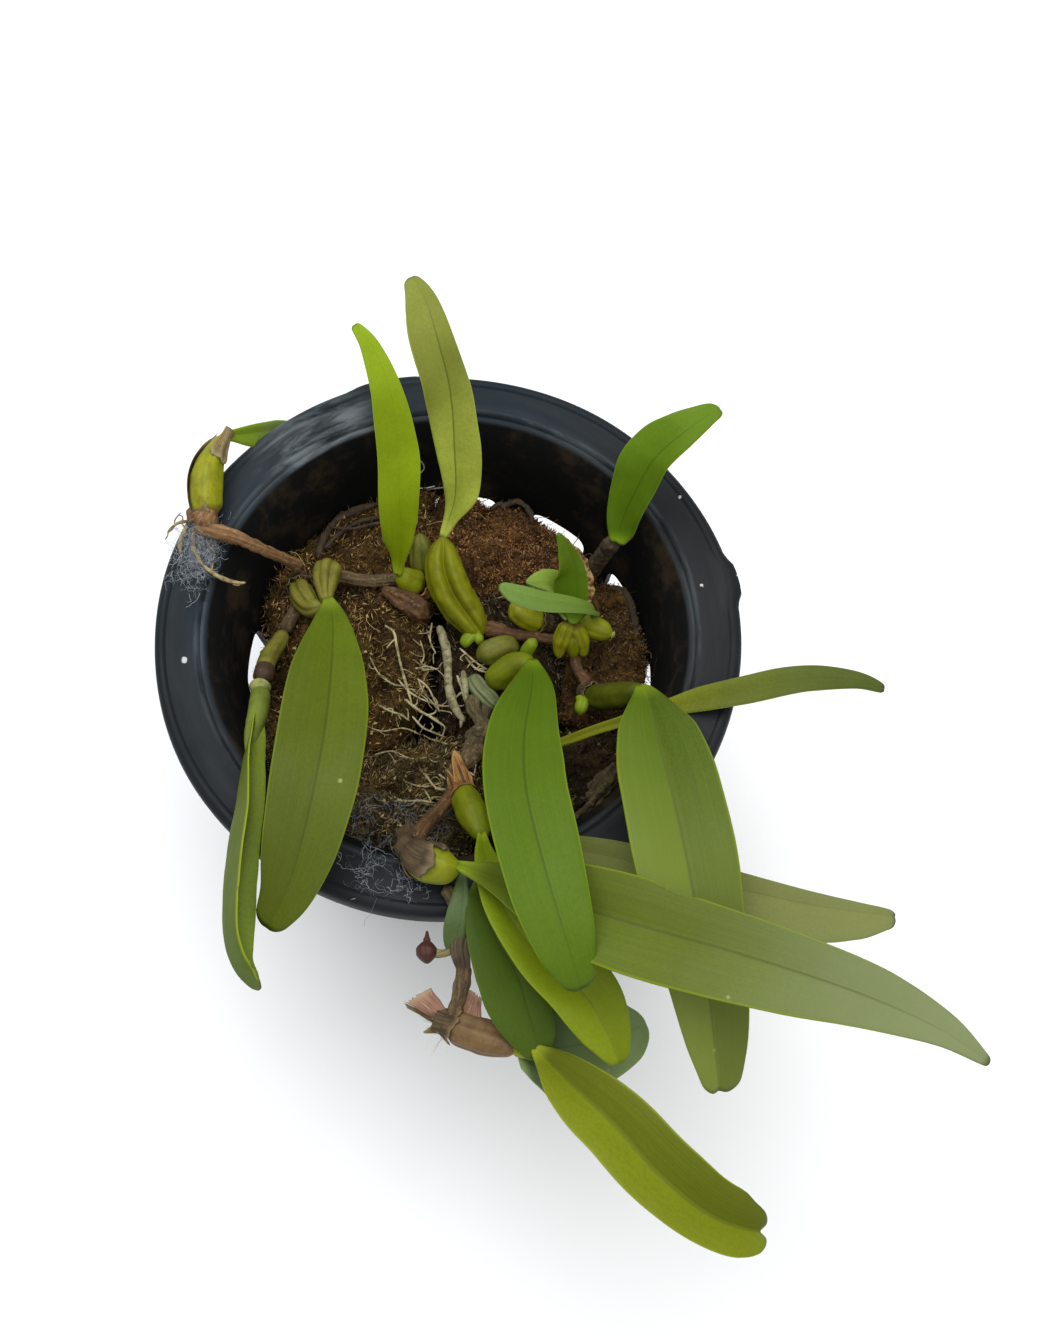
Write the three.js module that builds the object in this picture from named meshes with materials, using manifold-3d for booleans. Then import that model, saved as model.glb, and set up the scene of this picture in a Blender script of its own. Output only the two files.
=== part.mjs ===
// A potted bulbophyllum: a slotted orchid pot filled with husk chunks, and a creeping orchid
// whose rhizome runs over the husk and over the rim, with one leaf on each pseudobulb.
// Millimetres, +Z up. The origin is the middle of the pot's base, +Y points to the far side.

import * as THREE from 'three';
import Module from 'manifold-3d';
import { mergeVertices } from 'three/addons/utils/BufferGeometryUtils.js';

const wasm = await Module();
wasm.setup();

// Driving dimensions of the pot
const POT_HEIGHT = 140;
const RIM_RADIUS = 90;
const RIM_INNER_RADIUS = 76;
const LIP_DEPTH = 8;
const BASE_RADIUS = 55;
const WALL = 1.8;
const WALL_SLOPE = 0.135;
const FLOOR_THICKNESS = 2.2;
const FOOT_CHAMFER = 1.5;
const NECK_HEIGHT = 134;
const POT_SEGMENTS = 48;

const WINDOW_COUNT = 12;
const WINDOW_START_DEG = 31.5;
const WINDOW_WIDTH = 22;
const WINDOW_BOTTOM = 22;
const WINDOW_TOP = 100.5;
const WINDOW_CORNER = 4;

const BASE_SLOT_COUNT = 8;
const BASE_SLOT_WIDTH = 5;
const BASE_SLOT_INNER = 24;
const BASE_SLOT_OUTER = 46;
const CUTTER_DEPTH = 40;

// Driving dimensions of the plant
const JOINT_GAP = 0.9;
const LEAF_THICKNESS = 1.3;
const PETIOLE_RADIUS = 1.3;
const TIP_HALF_WIDTH = 0.8;
const LEAF_STATIONS = [0, 0.05, 0.12, 0.22, 0.35, 0.5, 0.65, 0.78, 0.88, 0.95, 1];
const BULB_SIDES = 8;
const BULB_STATIONS = 6;
const FURROW_DEPTH = 0.12;
const STEM_SIDES = 7;
const ROOT_SIDES = 5;
const BRACT_STATIONS = 4;
const BRACT_ARC_STEPS = 6;
const BRACT_THICKNESS = 0.5;
const BRACT_CLEARANCE = 0.4;

const HUSK_CLEARANCE = 0.5;
const HUSK_BOTTOM = 3;
const HUSK_RIPPLE = 0.7;
const HUSK_EDGE_INSET = 4;
const HUSK_CROWN_INSET = 14;

const COLOURS = {
  pot: 0x23272c,
  husk: 0x5d4326,
  darkHusk: 0x3f2e1f,
  leaf: 0x5f8a2c,
  brightLeaf: 0x7f9a24,
  paleLeaf: 0x7d9450,
  darkLeaf: 0x3f6b35,
  bulb: 0x86901f,
  oliveBulb: 0x5d6b2a,
  rhizome: 0x6f553c,
  sheath: 0x8a5a34,
  root: 0xb5ab93,
  bud: 0x6d9a35,
  dryBud: 0x4a2a20,
};

const UP = new THREE.Vector3(0, 0, 1);
const group = new THREE.Group();
group.name = 'potted_bulbophyllum';

// Building blocks

function vec(point) {
  return new THREE.Vector3(point[0], point[1], point[2]);
}

function material(colour, roughness) {
  return new THREE.MeshStandardMaterial({ color: colour, roughness, metalness: 0 });
}

function place(name, geometry, colour, roughness) {
  const mesh = new THREE.Mesh(geometry, material(colour, roughness));
  mesh.name = name;
  group.add(mesh);
}

// A closed body through rings that have the same number of points. Each end is closed with a
// fan, or, on a thin curved strip, with quads between its outer and inner arcs.
function loft(rings, fanEnds = true) {
  const sides = rings[0].length;
  const positions = [];
  const indices = [];
  for (const ring of rings) {
    for (const point of ring) {
      positions.push(point.x, point.y, point.z);
    }
  }
  for (let row = 0; row < rings.length - 1; row++) {
    for (let side = 0; side < sides; side++) {
      const a = row * sides + side;
      const b = row * sides + ((side + 1) % sides);
      indices.push(a, b, a + sides);
      indices.push(b, b + sides, a + sides);
    }
  }
  const close = fanEnds ? addFan : addStripEnd;
  close(positions, indices, rings[0], 0, true);
  close(positions, indices, rings[rings.length - 1], (rings.length - 1) * sides, false);
  const geometry = new THREE.BufferGeometry();
  geometry.setAttribute('position', new THREE.Float32BufferAttribute(positions, 3));
  geometry.setIndex(indices);
  if (signedVolume(positions, indices) < 0) {
    geometry.setIndex(reversed(indices));
  }
  geometry.computeVertexNormals();
  return geometry;
}

function addFan(positions, indices, ring, first, flipped) {
  const centre = new THREE.Vector3();
  for (const point of ring) {
    centre.add(point);
  }
  centre.divideScalar(ring.length);
  const middle = positions.length / 3;
  positions.push(centre.x, centre.y, centre.z);
  for (let side = 0; side < ring.length; side++) {
    const a = first + side;
    const b = first + ((side + 1) % ring.length);
    if (flipped) {
      indices.push(middle, b, a);
    } else {
      indices.push(middle, a, b);
    }
  }
}

function addStripEnd(positions, indices, ring, first, flipped) {
  for (let k = 0; k < ring.length / 2 - 1; k++) {
    const outer = first + k;
    const inner = first + ring.length - 1 - k;
    const quad = [outer, outer + 1, inner - 1, outer, inner - 1, inner];
    indices.push(...(flipped ? quad.reverse() : quad));
  }
}

function signedVolume(positions, indices) {
  const corners = [new THREE.Vector3(), new THREE.Vector3(), new THREE.Vector3()];
  let volume = 0;
  for (let i = 0; i < indices.length; i += 3) {
    corners.forEach((corner, k) => corner.fromArray(positions, indices[i + k] * 3));
    volume += corners[0].dot(corners[1].clone().cross(corners[2])) / 6;
  }
  return volume;
}

function reversed(indices) {
  const result = [];
  for (let i = 0; i < indices.length; i += 3) {
    result.push(indices[i], indices[i + 2], indices[i + 1]);
  }
  return result;
}

function toManifold(geometry) {
  const bare = geometry.clone();
  bare.deleteAttribute('normal');
  bare.deleteAttribute('uv');
  const merged = mergeVertices(bare, 1e-4);
  return new wasm.Manifold(new wasm.Mesh({
    numProp: 3,
    vertProperties: new Float32Array(merged.attributes.position.array),
    triVerts: new Uint32Array(merged.index.array),
  }));
}

function fromManifold(solid) {
  const mesh = solid.getMesh();
  const geometry = new THREE.BufferGeometry();
  geometry.setAttribute('position', new THREE.Float32BufferAttribute(mesh.vertProperties, 3));
  geometry.setIndex(Array.from(mesh.triVerts));
  geometry.computeVertexNormals();
  return geometry;
}

function union(geometries) {
  let solid = toManifold(geometries[0]);
  for (const geometry of geometries.slice(1)) {
    solid = solid.add(toManifold(geometry));
  }
  return fromManifold(solid);
}

function ringAround(centre, across, along, radius, sides, shape = () => 1) {
  const ring = [];
  for (let side = 0; side < sides; side++) {
    const angle = (2 * Math.PI * side) / sides;
    const reach = radius * shape(angle);
    ring.push(centre.clone()
      .addScaledVector(across, reach * Math.cos(angle))
      .addScaledVector(along, reach * Math.sin(angle)));
  }
  return ring;
}

// Two directions square to a heading, carried along from the last ones so that rings never twist.
function squareTo(heading, previous) {
  const start = previous ?? (Math.abs(heading.z) > 0.9 ? new THREE.Vector3(1, 0, 0) : UP);
  const across = start.clone().addScaledVector(heading, -start.dot(heading)).normalize();
  const along = heading.clone().cross(across);
  return [across, along];
}

// A rod along a smooth route: radii holds one radius for each route point.
function stem(route, radii, sides = STEM_SIDES, stationsPerSpan = 3) {
  const curve = new THREE.CatmullRomCurve3(route.map(vec));
  const spans = route.length - 1;
  const stations = spans * stationsPerSpan;
  const rings = [];
  let across = null;
  for (let i = 0; i <= stations; i++) {
    const t = i / stations;
    const heading = curve.getTangent(t);
    let along;
    [across, along] = squareTo(heading, across);
    const span = Math.min(Math.floor(t * spans), spans - 1);
    const radius = THREE.MathUtils.lerp(radii[span], radii[span + 1], t * spans - span);
    rings.push(ringAround(curve.getPoint(t), across, along, radius, sides));
  }
  return loft(rings);
}

// The radius of a pseudobulb at t along it: an egg drawn out to a neck at the apex.
function bulbReach({ radius, neck = PETIOLE_RADIUS }, t) {
  const belly = Math.sin(Math.PI * Math.pow(Math.min(t, 1), 0.8)) ** 0.7;
  return neck + (radius - neck) * belly;
}

// A pseudobulb, with long furrows when it is old and shrunken.
function pseudobulb(bulb) {
  const foot = vec(bulb.base);
  const top = vec(bulb.apex);
  const axis = top.clone().sub(foot).normalize();
  const [across, along] = squareTo(axis, null);
  const rings = [];
  for (let i = 0; i <= BULB_STATIONS; i++) {
    const t = i / BULB_STATIONS;
    const centre = foot.clone().lerp(top, t);
    rings.push(ringAround(centre, across, along, bulbReach(bulb, t), BULB_SIDES, (angle) => (
      bulb.furrows ? 1 - FURROW_DEPTH * Math.cos(BULB_SIDES / 2 * angle) : 1
    )));
  }
  return loft(rings);
}

// How far a blade spreads at t, from 0 at the petiole to 1 where it is widest and back to 0.
function bladeSpread(t, widest, baseShape, tipShape) {
  const s = Math.pow(t, Math.log(0.5) / Math.log(widest));
  const wave = Math.max(0, Math.sin(Math.PI * s));
  return Math.pow(wave, t < widest ? baseShape : tipShape);
}

// A leaf: a thin closed blade along its midrib, with each half folded up by fold degrees.
// A small baseShape or tipShape rounds that end, and 1 or more draws it out.
function leaf({ route, width, widest = 0.5, baseShape = 0.8, tipShape = 0.4, roll = 0, fold = 8 }) {
  const curve = new THREE.CatmullRomCurve3(route.map(vec));
  const rings = [];
  for (const t of LEAF_STATIONS) {
    const heading = curve.getTangentAt(t);
    const side = heading.clone().cross(UP).normalize();
    side.applyAxisAngle(heading, THREE.MathUtils.degToRad(roll));
    const face = side.clone().cross(heading);
    const spread = bladeSpread(t, widest, baseShape, tipShape);
    const narrowest = THREE.MathUtils.lerp(PETIOLE_RADIUS, TIP_HALF_WIDTH, t);
    const half = narrowest + (width / 2 - narrowest) * spread;
    rings.push(bladeRing(curve.getPointAt(t), side, face, half, fold * spread, t));
  }
  return loft(rings);
}

function bladeRing(centre, side, face, half, foldDegrees, t) {
  const rise = Math.tan(THREE.MathUtils.degToRad(foldDegrees));
  const atPetiole = Math.max(0, 1 - t / 0.12);
  const thickness = THREE.MathUtils.lerp(LEAF_THICKNESS, PETIOLE_RADIUS * 2, atPetiole);
  const columns = [-1, -0.5, 0, 0.5, 1];
  const point = (u, lift) => centre.clone()
    .addScaledVector(side, u * half)
    .addScaledVector(face, Math.abs(u) * half * rise + lift);
  const upper = columns.map((u) => point(u, thickness / 2 * (1 - u * u)));
  const lower = columns.slice(1, -1).reverse().map((u) => point(u, -thickness / 2 * (1 - u * u)));
  return upper.concat(lower);
}

// The first midrib point of a leaf that stands on a pseudobulb.
function seatOn(bulb) {
  const top = vec(bulb.apex);
  const axis = top.clone().sub(vec(bulb.base)).normalize();
  return top.addScaledVector(axis, JOINT_GAP).toArray();
}

// A papery bract that wraps part of a pseudobulb, between two places along it.
function bract(bulb, { from, to, startDegrees, arcDegrees }) {
  const foot = vec(bulb.base);
  const top = vec(bulb.apex);
  const axis = top.clone().sub(foot).normalize();
  const [across, along] = squareTo(axis, null);
  const rings = [];
  for (let i = 0; i <= BRACT_STATIONS; i++) {
    const t = THREE.MathUtils.lerp(from, to, i / BRACT_STATIONS);
    const centre = foot.clone().lerp(top, t);
    const inside = bulbReach(bulb, Math.max(t, 0)) + BRACT_CLEARANCE;
    const ring = [];
    for (let k = 0; k <= BRACT_ARC_STEPS; k++) {
      ring.push(arcPoint(centre, across, along, inside + BRACT_THICKNESS, startDegrees, arcDegrees, k));
    }
    for (let k = BRACT_ARC_STEPS; k >= 0; k--) {
      ring.push(arcPoint(centre, across, along, inside, startDegrees, arcDegrees, k));
    }
    rings.push(ring);
  }
  return loft(rings, false);
}

function arcPoint(centre, across, along, radius, startDegrees, arcDegrees, step) {
  const angle = THREE.MathUtils.degToRad(startDegrees + (arcDegrees * step) / BRACT_ARC_STEPS);
  return centre.clone()
    .addScaledVector(across, radius * Math.cos(angle))
    .addScaledVector(along, radius * Math.sin(angle));
}

// Pot

function potWallOuter(z) {
  return BASE_RADIUS + WALL_SLOPE * z;
}

function potWallInner(z) {
  return potWallOuter(z) - WALL;
}

// The wall, the wide flat rim with its turned-down lip, and the floor, all turned in one.
function slottedPot() {
  const profile = [
    [0, 0],
    [BASE_RADIUS - FOOT_CHAMFER, 0],
    [BASE_RADIUS, FOOT_CHAMFER],
    [potWallOuter(WINDOW_TOP + 1), WINDOW_TOP + 1],
    [potWallOuter(NECK_HEIGHT - 1), NECK_HEIGHT - 1],
    [RIM_INNER_RADIUS - 0.5, POT_HEIGHT - 3.6],
    [RIM_RADIUS - 3, POT_HEIGHT - 2],
    [RIM_RADIUS - WALL, POT_HEIGHT - 3.4],
    [RIM_RADIUS - WALL + 0.2, POT_HEIGHT - LIP_DEPTH],
    [RIM_RADIUS, POT_HEIGHT - LIP_DEPTH],
    [RIM_RADIUS + 0.2, POT_HEIGHT - 2],
    [RIM_RADIUS - 1, POT_HEIGHT],
    [RIM_RADIUS - 3.5, POT_HEIGHT + 0.2],
    [RIM_INNER_RADIUS + 5, POT_HEIGHT - 0.4],
    [RIM_INNER_RADIUS, POT_HEIGHT - 1.4],
    [RIM_INNER_RADIUS - 2.6, POT_HEIGHT - 2.4],
    [potWallInner(NECK_HEIGHT), NECK_HEIGHT],
    [potWallInner(WINDOW_TOP + 1), WINDOW_TOP + 1],
    [potWallInner(FLOOR_THICKNESS + FOOT_CHAMFER), FLOOR_THICKNESS + FOOT_CHAMFER],
    [potWallInner(FLOOR_THICKNESS) - FOOT_CHAMFER, FLOOR_THICKNESS],
    [0, FLOOR_THICKNESS],
  ];
  const outline = profile.map(([r, z]) => new THREE.Vector2(r, z));
  const lathe = new THREE.LatheGeometry(outline, POT_SEGMENTS);
  lathe.rotateX(Math.PI / 2);
  let solid = toManifold(lathe);
  if (solid.volume() < 0) {
    throw new Error('the pot is inside out');
  }
  for (let i = 0; i < WINDOW_COUNT; i++) {
    solid = solid.subtract(toManifold(windowCutter(i)));
  }
  for (let i = 0; i < BASE_SLOT_COUNT; i++) {
    solid = solid.subtract(toManifold(baseSlotCutter(i)));
  }
  return fromManifold(solid);
}

function roundedRectangle(width, height, corner) {
  const shape = new THREE.Shape();
  const x = width / 2;
  const y = height / 2;
  shape.moveTo(-x + corner, -y);
  shape.lineTo(x - corner, -y);
  shape.absarc(x - corner, -y + corner, corner, -Math.PI / 2, 0);
  shape.lineTo(x, y - corner);
  shape.absarc(x - corner, y - corner, corner, 0, Math.PI / 2);
  shape.lineTo(-x + corner, y);
  shape.absarc(-x + corner, y - corner, corner, Math.PI / 2, Math.PI);
  shape.lineTo(-x, -y + corner);
  shape.absarc(-x + corner, -y + corner, corner, Math.PI, Math.PI * 1.5);
  return shape;
}

function windowCutter(index) {
  const height = WINDOW_TOP - WINDOW_BOTTOM;
  const shape = roundedRectangle(WINDOW_WIDTH, height, WINDOW_CORNER);
  const cutter = new THREE.ExtrudeGeometry(shape, {
    depth: CUTTER_DEPTH, bevelEnabled: false, curveSegments: 1,
  });
  cutter.rotateX(Math.PI / 2);
  cutter.rotateZ(Math.PI / 2);
  cutter.translate(CUTTER_DEPTH, 0, (WINDOW_TOP + WINDOW_BOTTOM) / 2);
  const turn = WINDOW_START_DEG + (360 * index) / WINDOW_COUNT;
  cutter.rotateZ(THREE.MathUtils.degToRad(turn));
  return cutter;
}

function baseSlotCutter(index) {
  const length = BASE_SLOT_OUTER - BASE_SLOT_INNER;
  const shape = roundedRectangle(length, BASE_SLOT_WIDTH, BASE_SLOT_WIDTH / 2 - 0.1);
  const cutter = new THREE.ExtrudeGeometry(shape, {
    depth: FLOOR_THICKNESS * 3, bevelEnabled: false, curveSegments: 2,
  });
  cutter.translate((BASE_SLOT_INNER + BASE_SLOT_OUTER) / 2, 0, -FLOOR_THICKNESS);
  cutter.rotateZ((2 * Math.PI * index) / BASE_SLOT_COUNT);
  return cutter;
}

place('pot', slottedPot(), COLOURS.pot, 0.45);

// Husk chunks: outlines seen from above, at the height of each chunk's top

const HUSK = {
  husk_left: {
    outline: [[-64, -6], [-62, 16], [-50, 38], [-30, 54], [-15, 59], [-13, 32], [-8, 12], [-6, -12],
      [-12, -30], [-30, -36], [-54, -30]],
    top: 110.5, crown: 0.8, colour: COLOURS.husk,
  },
  husk_far: {
    outline: [[-12, 32], [10, 28], [32, 31], [38, 46], [28, 56], [6, 62], [-12, 60]],
    top: 104, crown: 3, colour: COLOURS.husk,
  },
  husk_centre: {
    outline: [[-6, 12], [-2, 24], [12, 26], [34, 29], [35, 8], [37, -14], [24, -24], [6, -28], [-4, -14]],
    top: 110, crown: 0.6, colour: COLOURS.darkHusk,
  },
  husk_right: {
    outline: [[38, 40], [52, 38], [62, 22], [65, 4], [62, -14], [39, -15], [37, 8]],
    top: 106, crown: 1.5, colour: COLOURS.darkHusk,
  },
  husk_lower_right: {
    outline: [[26, -26], [40, -17], [60, -17], [57, -32], [42, -48], [26, -58], [18, -56], [16, -34]],
    top: 105, crown: 1, colour: COLOURS.darkHusk,
  },
  husk_near: {
    outline: [[-52, -33], [-30, -38], [-11, -32], [4, -30], [14, -34], [16, -60], [0, -65], [-20, -63],
      [-42, -51]],
    top: 116, crown: 1.5, colour: COLOURS.husk,
  },
};

// How far a chunk narrows below its top, as the pot's wall does.
function wallNarrowing(z, top) {
  return (potWallInner(z) - HUSK_CLEARANCE) / (potWallInner(top) - HUSK_CLEARANCE);
}

// A standing chunk of husk with a rough, slightly domed top.
function huskChunk({ outline, top, crown }) {
  const middle = outline.reduce((sum, [x, y]) => [sum[0] + x, sum[1] + y], [0, 0])
    .map((total) => total / outline.length);
  const levels = [
    { z: HUSK_BOTTOM, inset: 1.5 },
    { z: HUSK_BOTTOM + 4, inset: 0.6 },
    { z: top - 10, inset: 0.6 },
    { z: top - 3, inset: 1.4 },
    { z: top, inset: HUSK_EDGE_INSET },
    { z: top + crown, inset: HUSK_CROWN_INSET },
  ];
  const rings = levels.map(({ z, inset }, row) => outline.map(([x, y], k) => {
    const ripple = HUSK_RIPPLE * Math.sin(2.1 * k + 1.3 * row);
    const reach = Math.hypot(x - middle[0], y - middle[1]);
    const keep = Math.max(1 - (inset + HUSK_RIPPLE + ripple) / reach, 0.25);
    const narrow = wallNarrowing(z, top);
    return new THREE.Vector3(
      (middle[0] + (x - middle[0]) * keep) * narrow,
      (middle[1] + (y - middle[1]) * keep) * narrow,
      z,
    );
  }));
  return loft(rings);
}

for (const [name, chunk] of Object.entries(HUSK)) {
  place(name, huskChunk(chunk), chunk.colour, 1);
}

// Pseudobulbs: base and apex points, and the widest radius

const BULBS = {
  bulb_far_left: { base: [-78.5, 28.5, 145.2], apex: [-79, 55, 146.4], radius: 5 },
  bulb_outer_left: { base: [-55, -4, 117], apex: [-54.5, -23, 132], radius: 3.6 },
  bulb_back_small: { base: [-13.5, 25, 113.5], apex: [-19.5, 23, 122.5], radius: 3.4 },
  bulb_back_olive: { base: [-12, 30.5, 112], apex: [-15, 39, 123], radius: 4 },
  bulb_back_ribbed: { base: [7, 11.5, 114], apex: [-6, 34.5, 130], radius: 5.2, furrows: true },
  bulb_tuft_left: { base: [28, 16.5, 112.5], apex: [17.5, 18, 120], radius: 4.2 },
  bulb_tuft_near: { base: [37.5, 6, 114.4], apex: [38, 10, 125], radius: 4.2, furrows: true },
  bulb_tuft_right: { base: [42.4, 12.6, 117.5], apex: [53, 10.5, 121.5], radius: 3.3, neck: 2 },
  bulb_centre_old: { base: [21, 5.5, 114.3], apex: [10.5, 1, 115.9], radius: 4, furrows: true },
  bulb_centre: { base: [14, -10, 114.5], apex: [27, -5.5, 126.5], radius: 4.6 },
  bulb_centre_withered: { base: [10.5, -12, 113.2], apex: [7, -4.5, 114], radius: 2.2, furrows: true },
  bulb_right: { base: [45.5, -10, 112], apex: [60, -13.5, 135], radius: 4 },
  bulb_hidden_right: { base: [28, -31, 107], apex: [37, -28, 118], radius: 4 },
  bulb_hidden_near: { base: [22.5, -46, 106.7], apex: [24, -59, 134], radius: 4 },
  bulb_near_inner: { base: [9, -50, 127], apex: [15, -61, 137.5], radius: 4.6 },
  bulb_near_rim: { base: [1, -78, 146], apex: [11, -78, 150.5], radius: 4.8 },
  bulb_withered: { base: [15.5, -118, 132.5], apex: [31, -123, 134], radius: 5, furrows: true },
};

for (const [name, bulb] of Object.entries(BULBS)) {
  place(name, pseudobulb(bulb), bulb.furrows ? COLOURS.oliveBulb : COLOURS.bulb, 0.45);
}

// The left pseudobulb has two lobes that have grown together.
const LEFT_LOBE = { base: [-46, 28, 114.5], apex: [-41, 10.5, 125], radius: 4.8 };
const SIDE_LOBE = { base: [-49, 22, 115], apex: [-47, 8.5, 120], radius: 3.6 };
place('bulb_left', union([LEFT_LOBE, SIDE_LOBE].map(pseudobulb)), COLOURS.bulb, 0.45);

// Buds and young shoots

const BUDS = {
  bud_back: { base: [5.5, 4.5, 111.8], apex: [3.5, 9, 119.5], radius: 2.2, neck: 0.8 },
  bud_centre: { base: [25, 3.5, 111.5], apex: [25.5, 7, 119], radius: 1.9, neck: 0.8 },
  bud_withered: { base: [12.5, -98.5, 140], apex: [2.5, -99, 136.5], radius: 3.4, neck: 1 },
};

for (const [name, bud] of Object.entries(BUDS)) {
  place(name, pseudobulb(bud), name === 'bud_withered' ? COLOURS.dryBud : COLOURS.bud, 0.5);
}

// Leaves: midrib points from the petiole to the tip

const LEAVES = {
  leaf_far_left: {
    on: 'bulb_far_left',
    route: [[-77, 60, 144], [-72, 69, 132], [-64, 81, 114]],
    width: 13, roll: 60, colour: COLOURS.leaf,
  },
  leaf_left: {
    on: 'bulb_left',
    route: [[-35, -16, 144], [-31, -43, 158], [-32, -73, 162], [-38, -100, 151]],
    width: 25.4, baseShape: 1, colour: COLOURS.leaf,
  },
  leaf_outer_left: {
    on: 'bulb_outer_left',
    route: [[-50, -48, 145], [-49, -71, 151], [-47, -95, 149], [-39, -115, 138]],
    width: 13, widest: 0.7, baseShape: 0.4, tipShape: 0.6, roll: 35, fold: 25,
    colour: COLOURS.brightLeaf,
  },
  leaf_back_narrow: {
    on: 'bulb_back_small',
    route: [[-20, 30, 145], [-20, 40, 166], [-24, 52, 184], [-36, 69, 192]],
    width: 13, widest: 0.45, tipShape: 0.6, colour: COLOURS.brightLeaf,
  },
  leaf_back_tall: {
    on: 'bulb_back_ribbed',
    route: [[-1, 46, 150], [-5, 56, 169], [-12, 66, 188], [-20, 85, 197]],
    width: 15, widest: 0.55, colour: COLOURS.paleLeaf,
  },
  leaf_back_right: {
    on: 'stem_back_right',
    route: [[52, 46, 146], [55, 53, 159], [64, 59, 168], [76, 67, 170]],
    width: 16, widest: 0.55, baseShape: 0.75, tipShape: 0.6, colour: COLOURS.leaf,
  },
  leaf_centre: {
    on: 'bulb_centre',
    route: [[29.3, -7, 130.5], [27, -20, 142.5], [26, -32, 152.5], [27, -55, 169], [33, -84, 182],
      [46, -113, 180]],
    width: 23, baseShape: 0.7, tipShape: 0.35, colour: COLOURS.leaf,
  },
  leaf_right: {
    on: 'bulb_right',
    route: [[64, -27, 148], [68, -53, 161], [72, -71, 165], [80, -102, 159], [86, -131, 146]],
    width: 29.5, widest: 0.38, baseShape: 0.6, tipShape: 0.48, colour: COLOURS.leaf,
  },
  leaf_long: {
    on: 'bulb_near_rim',
    route: [[45, -88, 162], [79, -99, 172], [114, -107, 181], [147, -121, 183]],
    width: 27, widest: 0.35, baseShape: 1.4, tipShape: 0.7, colour: COLOURS.brightLeaf,
  },
  leaf_right_slender: {
    on: 'bulb_hidden_right',
    route: [[59, -22, 130], [70, -19, 139], [79, -17, 142.6], [106, -11, 150], [132, -11, 148]],
    width: 9.4, widest: 0.68, baseShape: 1.3, tipShape: 0.6, colour: COLOURS.leaf,
  },
  leaf_right_low: {
    on: 'bulb_hidden_near',
    route: [[34, -64, 141.5], [52, -69.5, 144.5], [79, -76, 149], [106, -82, 151.5], [134, -79, 148]],
    width: 15.6, widest: 0.62, baseShape: 0.9, tipShape: 0.45, colour: COLOURS.paleLeaf,
  },
  leaf_near_channelled: {
    on: 'bulb_near_inner',
    route: [[21, -80, 150], [34, -95, 157], [49, -110, 156], [60, -127, 150]],
    width: 18.4, widest: 0.65, baseShape: 1, tipShape: 0.5, fold: 18, colour: COLOURS.brightLeaf,
  },
  leaf_near_outermost: {
    on: 'bulb_withered',
    route: [[53, -136, 147], [69, -149, 150], [86, -160, 147], [103, -165, 138]],
    width: 20.4, widest: 0.45, baseShape: 0.6, tipShape: 0.25, fold: 15, colour: COLOURS.brightLeaf,
  },
  leaf_near_dark: {
    route: [[17, -80, 143.5], [21, -92, 146.5], [26, -104, 147], [34, -115, 145], [39, -126, 141]],
    width: 13.6, widest: 0.7, tipShape: 0.5, colour: COLOURS.darkLeaf,
  },
  leaf_near_hidden: {
    route: [[12.5, -78, 143], [13, -85, 145.7], [13, -92, 146], [12, -99, 144], [11, -106, 140]],
    width: 8.6, baseShape: 1, tipShape: 0.6, colour: COLOURS.paleLeaf,
  },
  leaf_near_under: {
    route: [[33, -124.5, 131.5], [42, -124, 131], [51, -121, 131], [60, -117, 130], [68, -112, 127]],
    width: 29, baseShape: 0.5, fold: 4, colour: COLOURS.darkLeaf,
  },
  leaf_torn: {
    route: [[38, 11.2, 125.8], [38, 19, 131], [35.5, 24, 141], [32, 27, 151]],
    width: 11, widest: 0.55, tipShape: 0.7, colour: COLOURS.leaf,
  },
  leaf_pale_blade: {
    route: [[45, 15.5, 121.8], [44, 14, 130], [38, 12, 137], [28, 9, 143.5], [20, 8.5, 147.5],
      [13.5, 10, 149]],
    width: 8.5, widest: 0.6, tipShape: 0.4, fold: 4, colour: COLOURS.paleLeaf,
  },
  leaf_tuft_behind: {
    route: [[36, 13, 124.5], [32.5, 18.5, 129], [28, 20, 134.5], [23, 19, 139]],
    width: 7, tipShape: 0.6, colour: COLOURS.brightLeaf,
  },
};

// The brown stem that carries the far right leaf.
const STEM_BACK_RIGHT = { base: [42, 35.5, 106.8], apex: [49, 38, 132], radius: 2.6, neck: 2 };
place('stem_back_right', pseudobulb(STEM_BACK_RIGHT), COLOURS.sheath, 0.7);

const CARRIERS = { ...BULBS, bulb_left: LEFT_LOBE, stem_back_right: STEM_BACK_RIGHT };
for (const [name, blade] of Object.entries(LEAVES)) {
  const seat = blade.on ? [seatOn(CARRIERS[blade.on])] : [];
  place(name, leaf({ ...blade, route: [...seat, ...blade.route] }), blade.colour, 0.4);
}

// Rhizome, in the lengths between its branches

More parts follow.
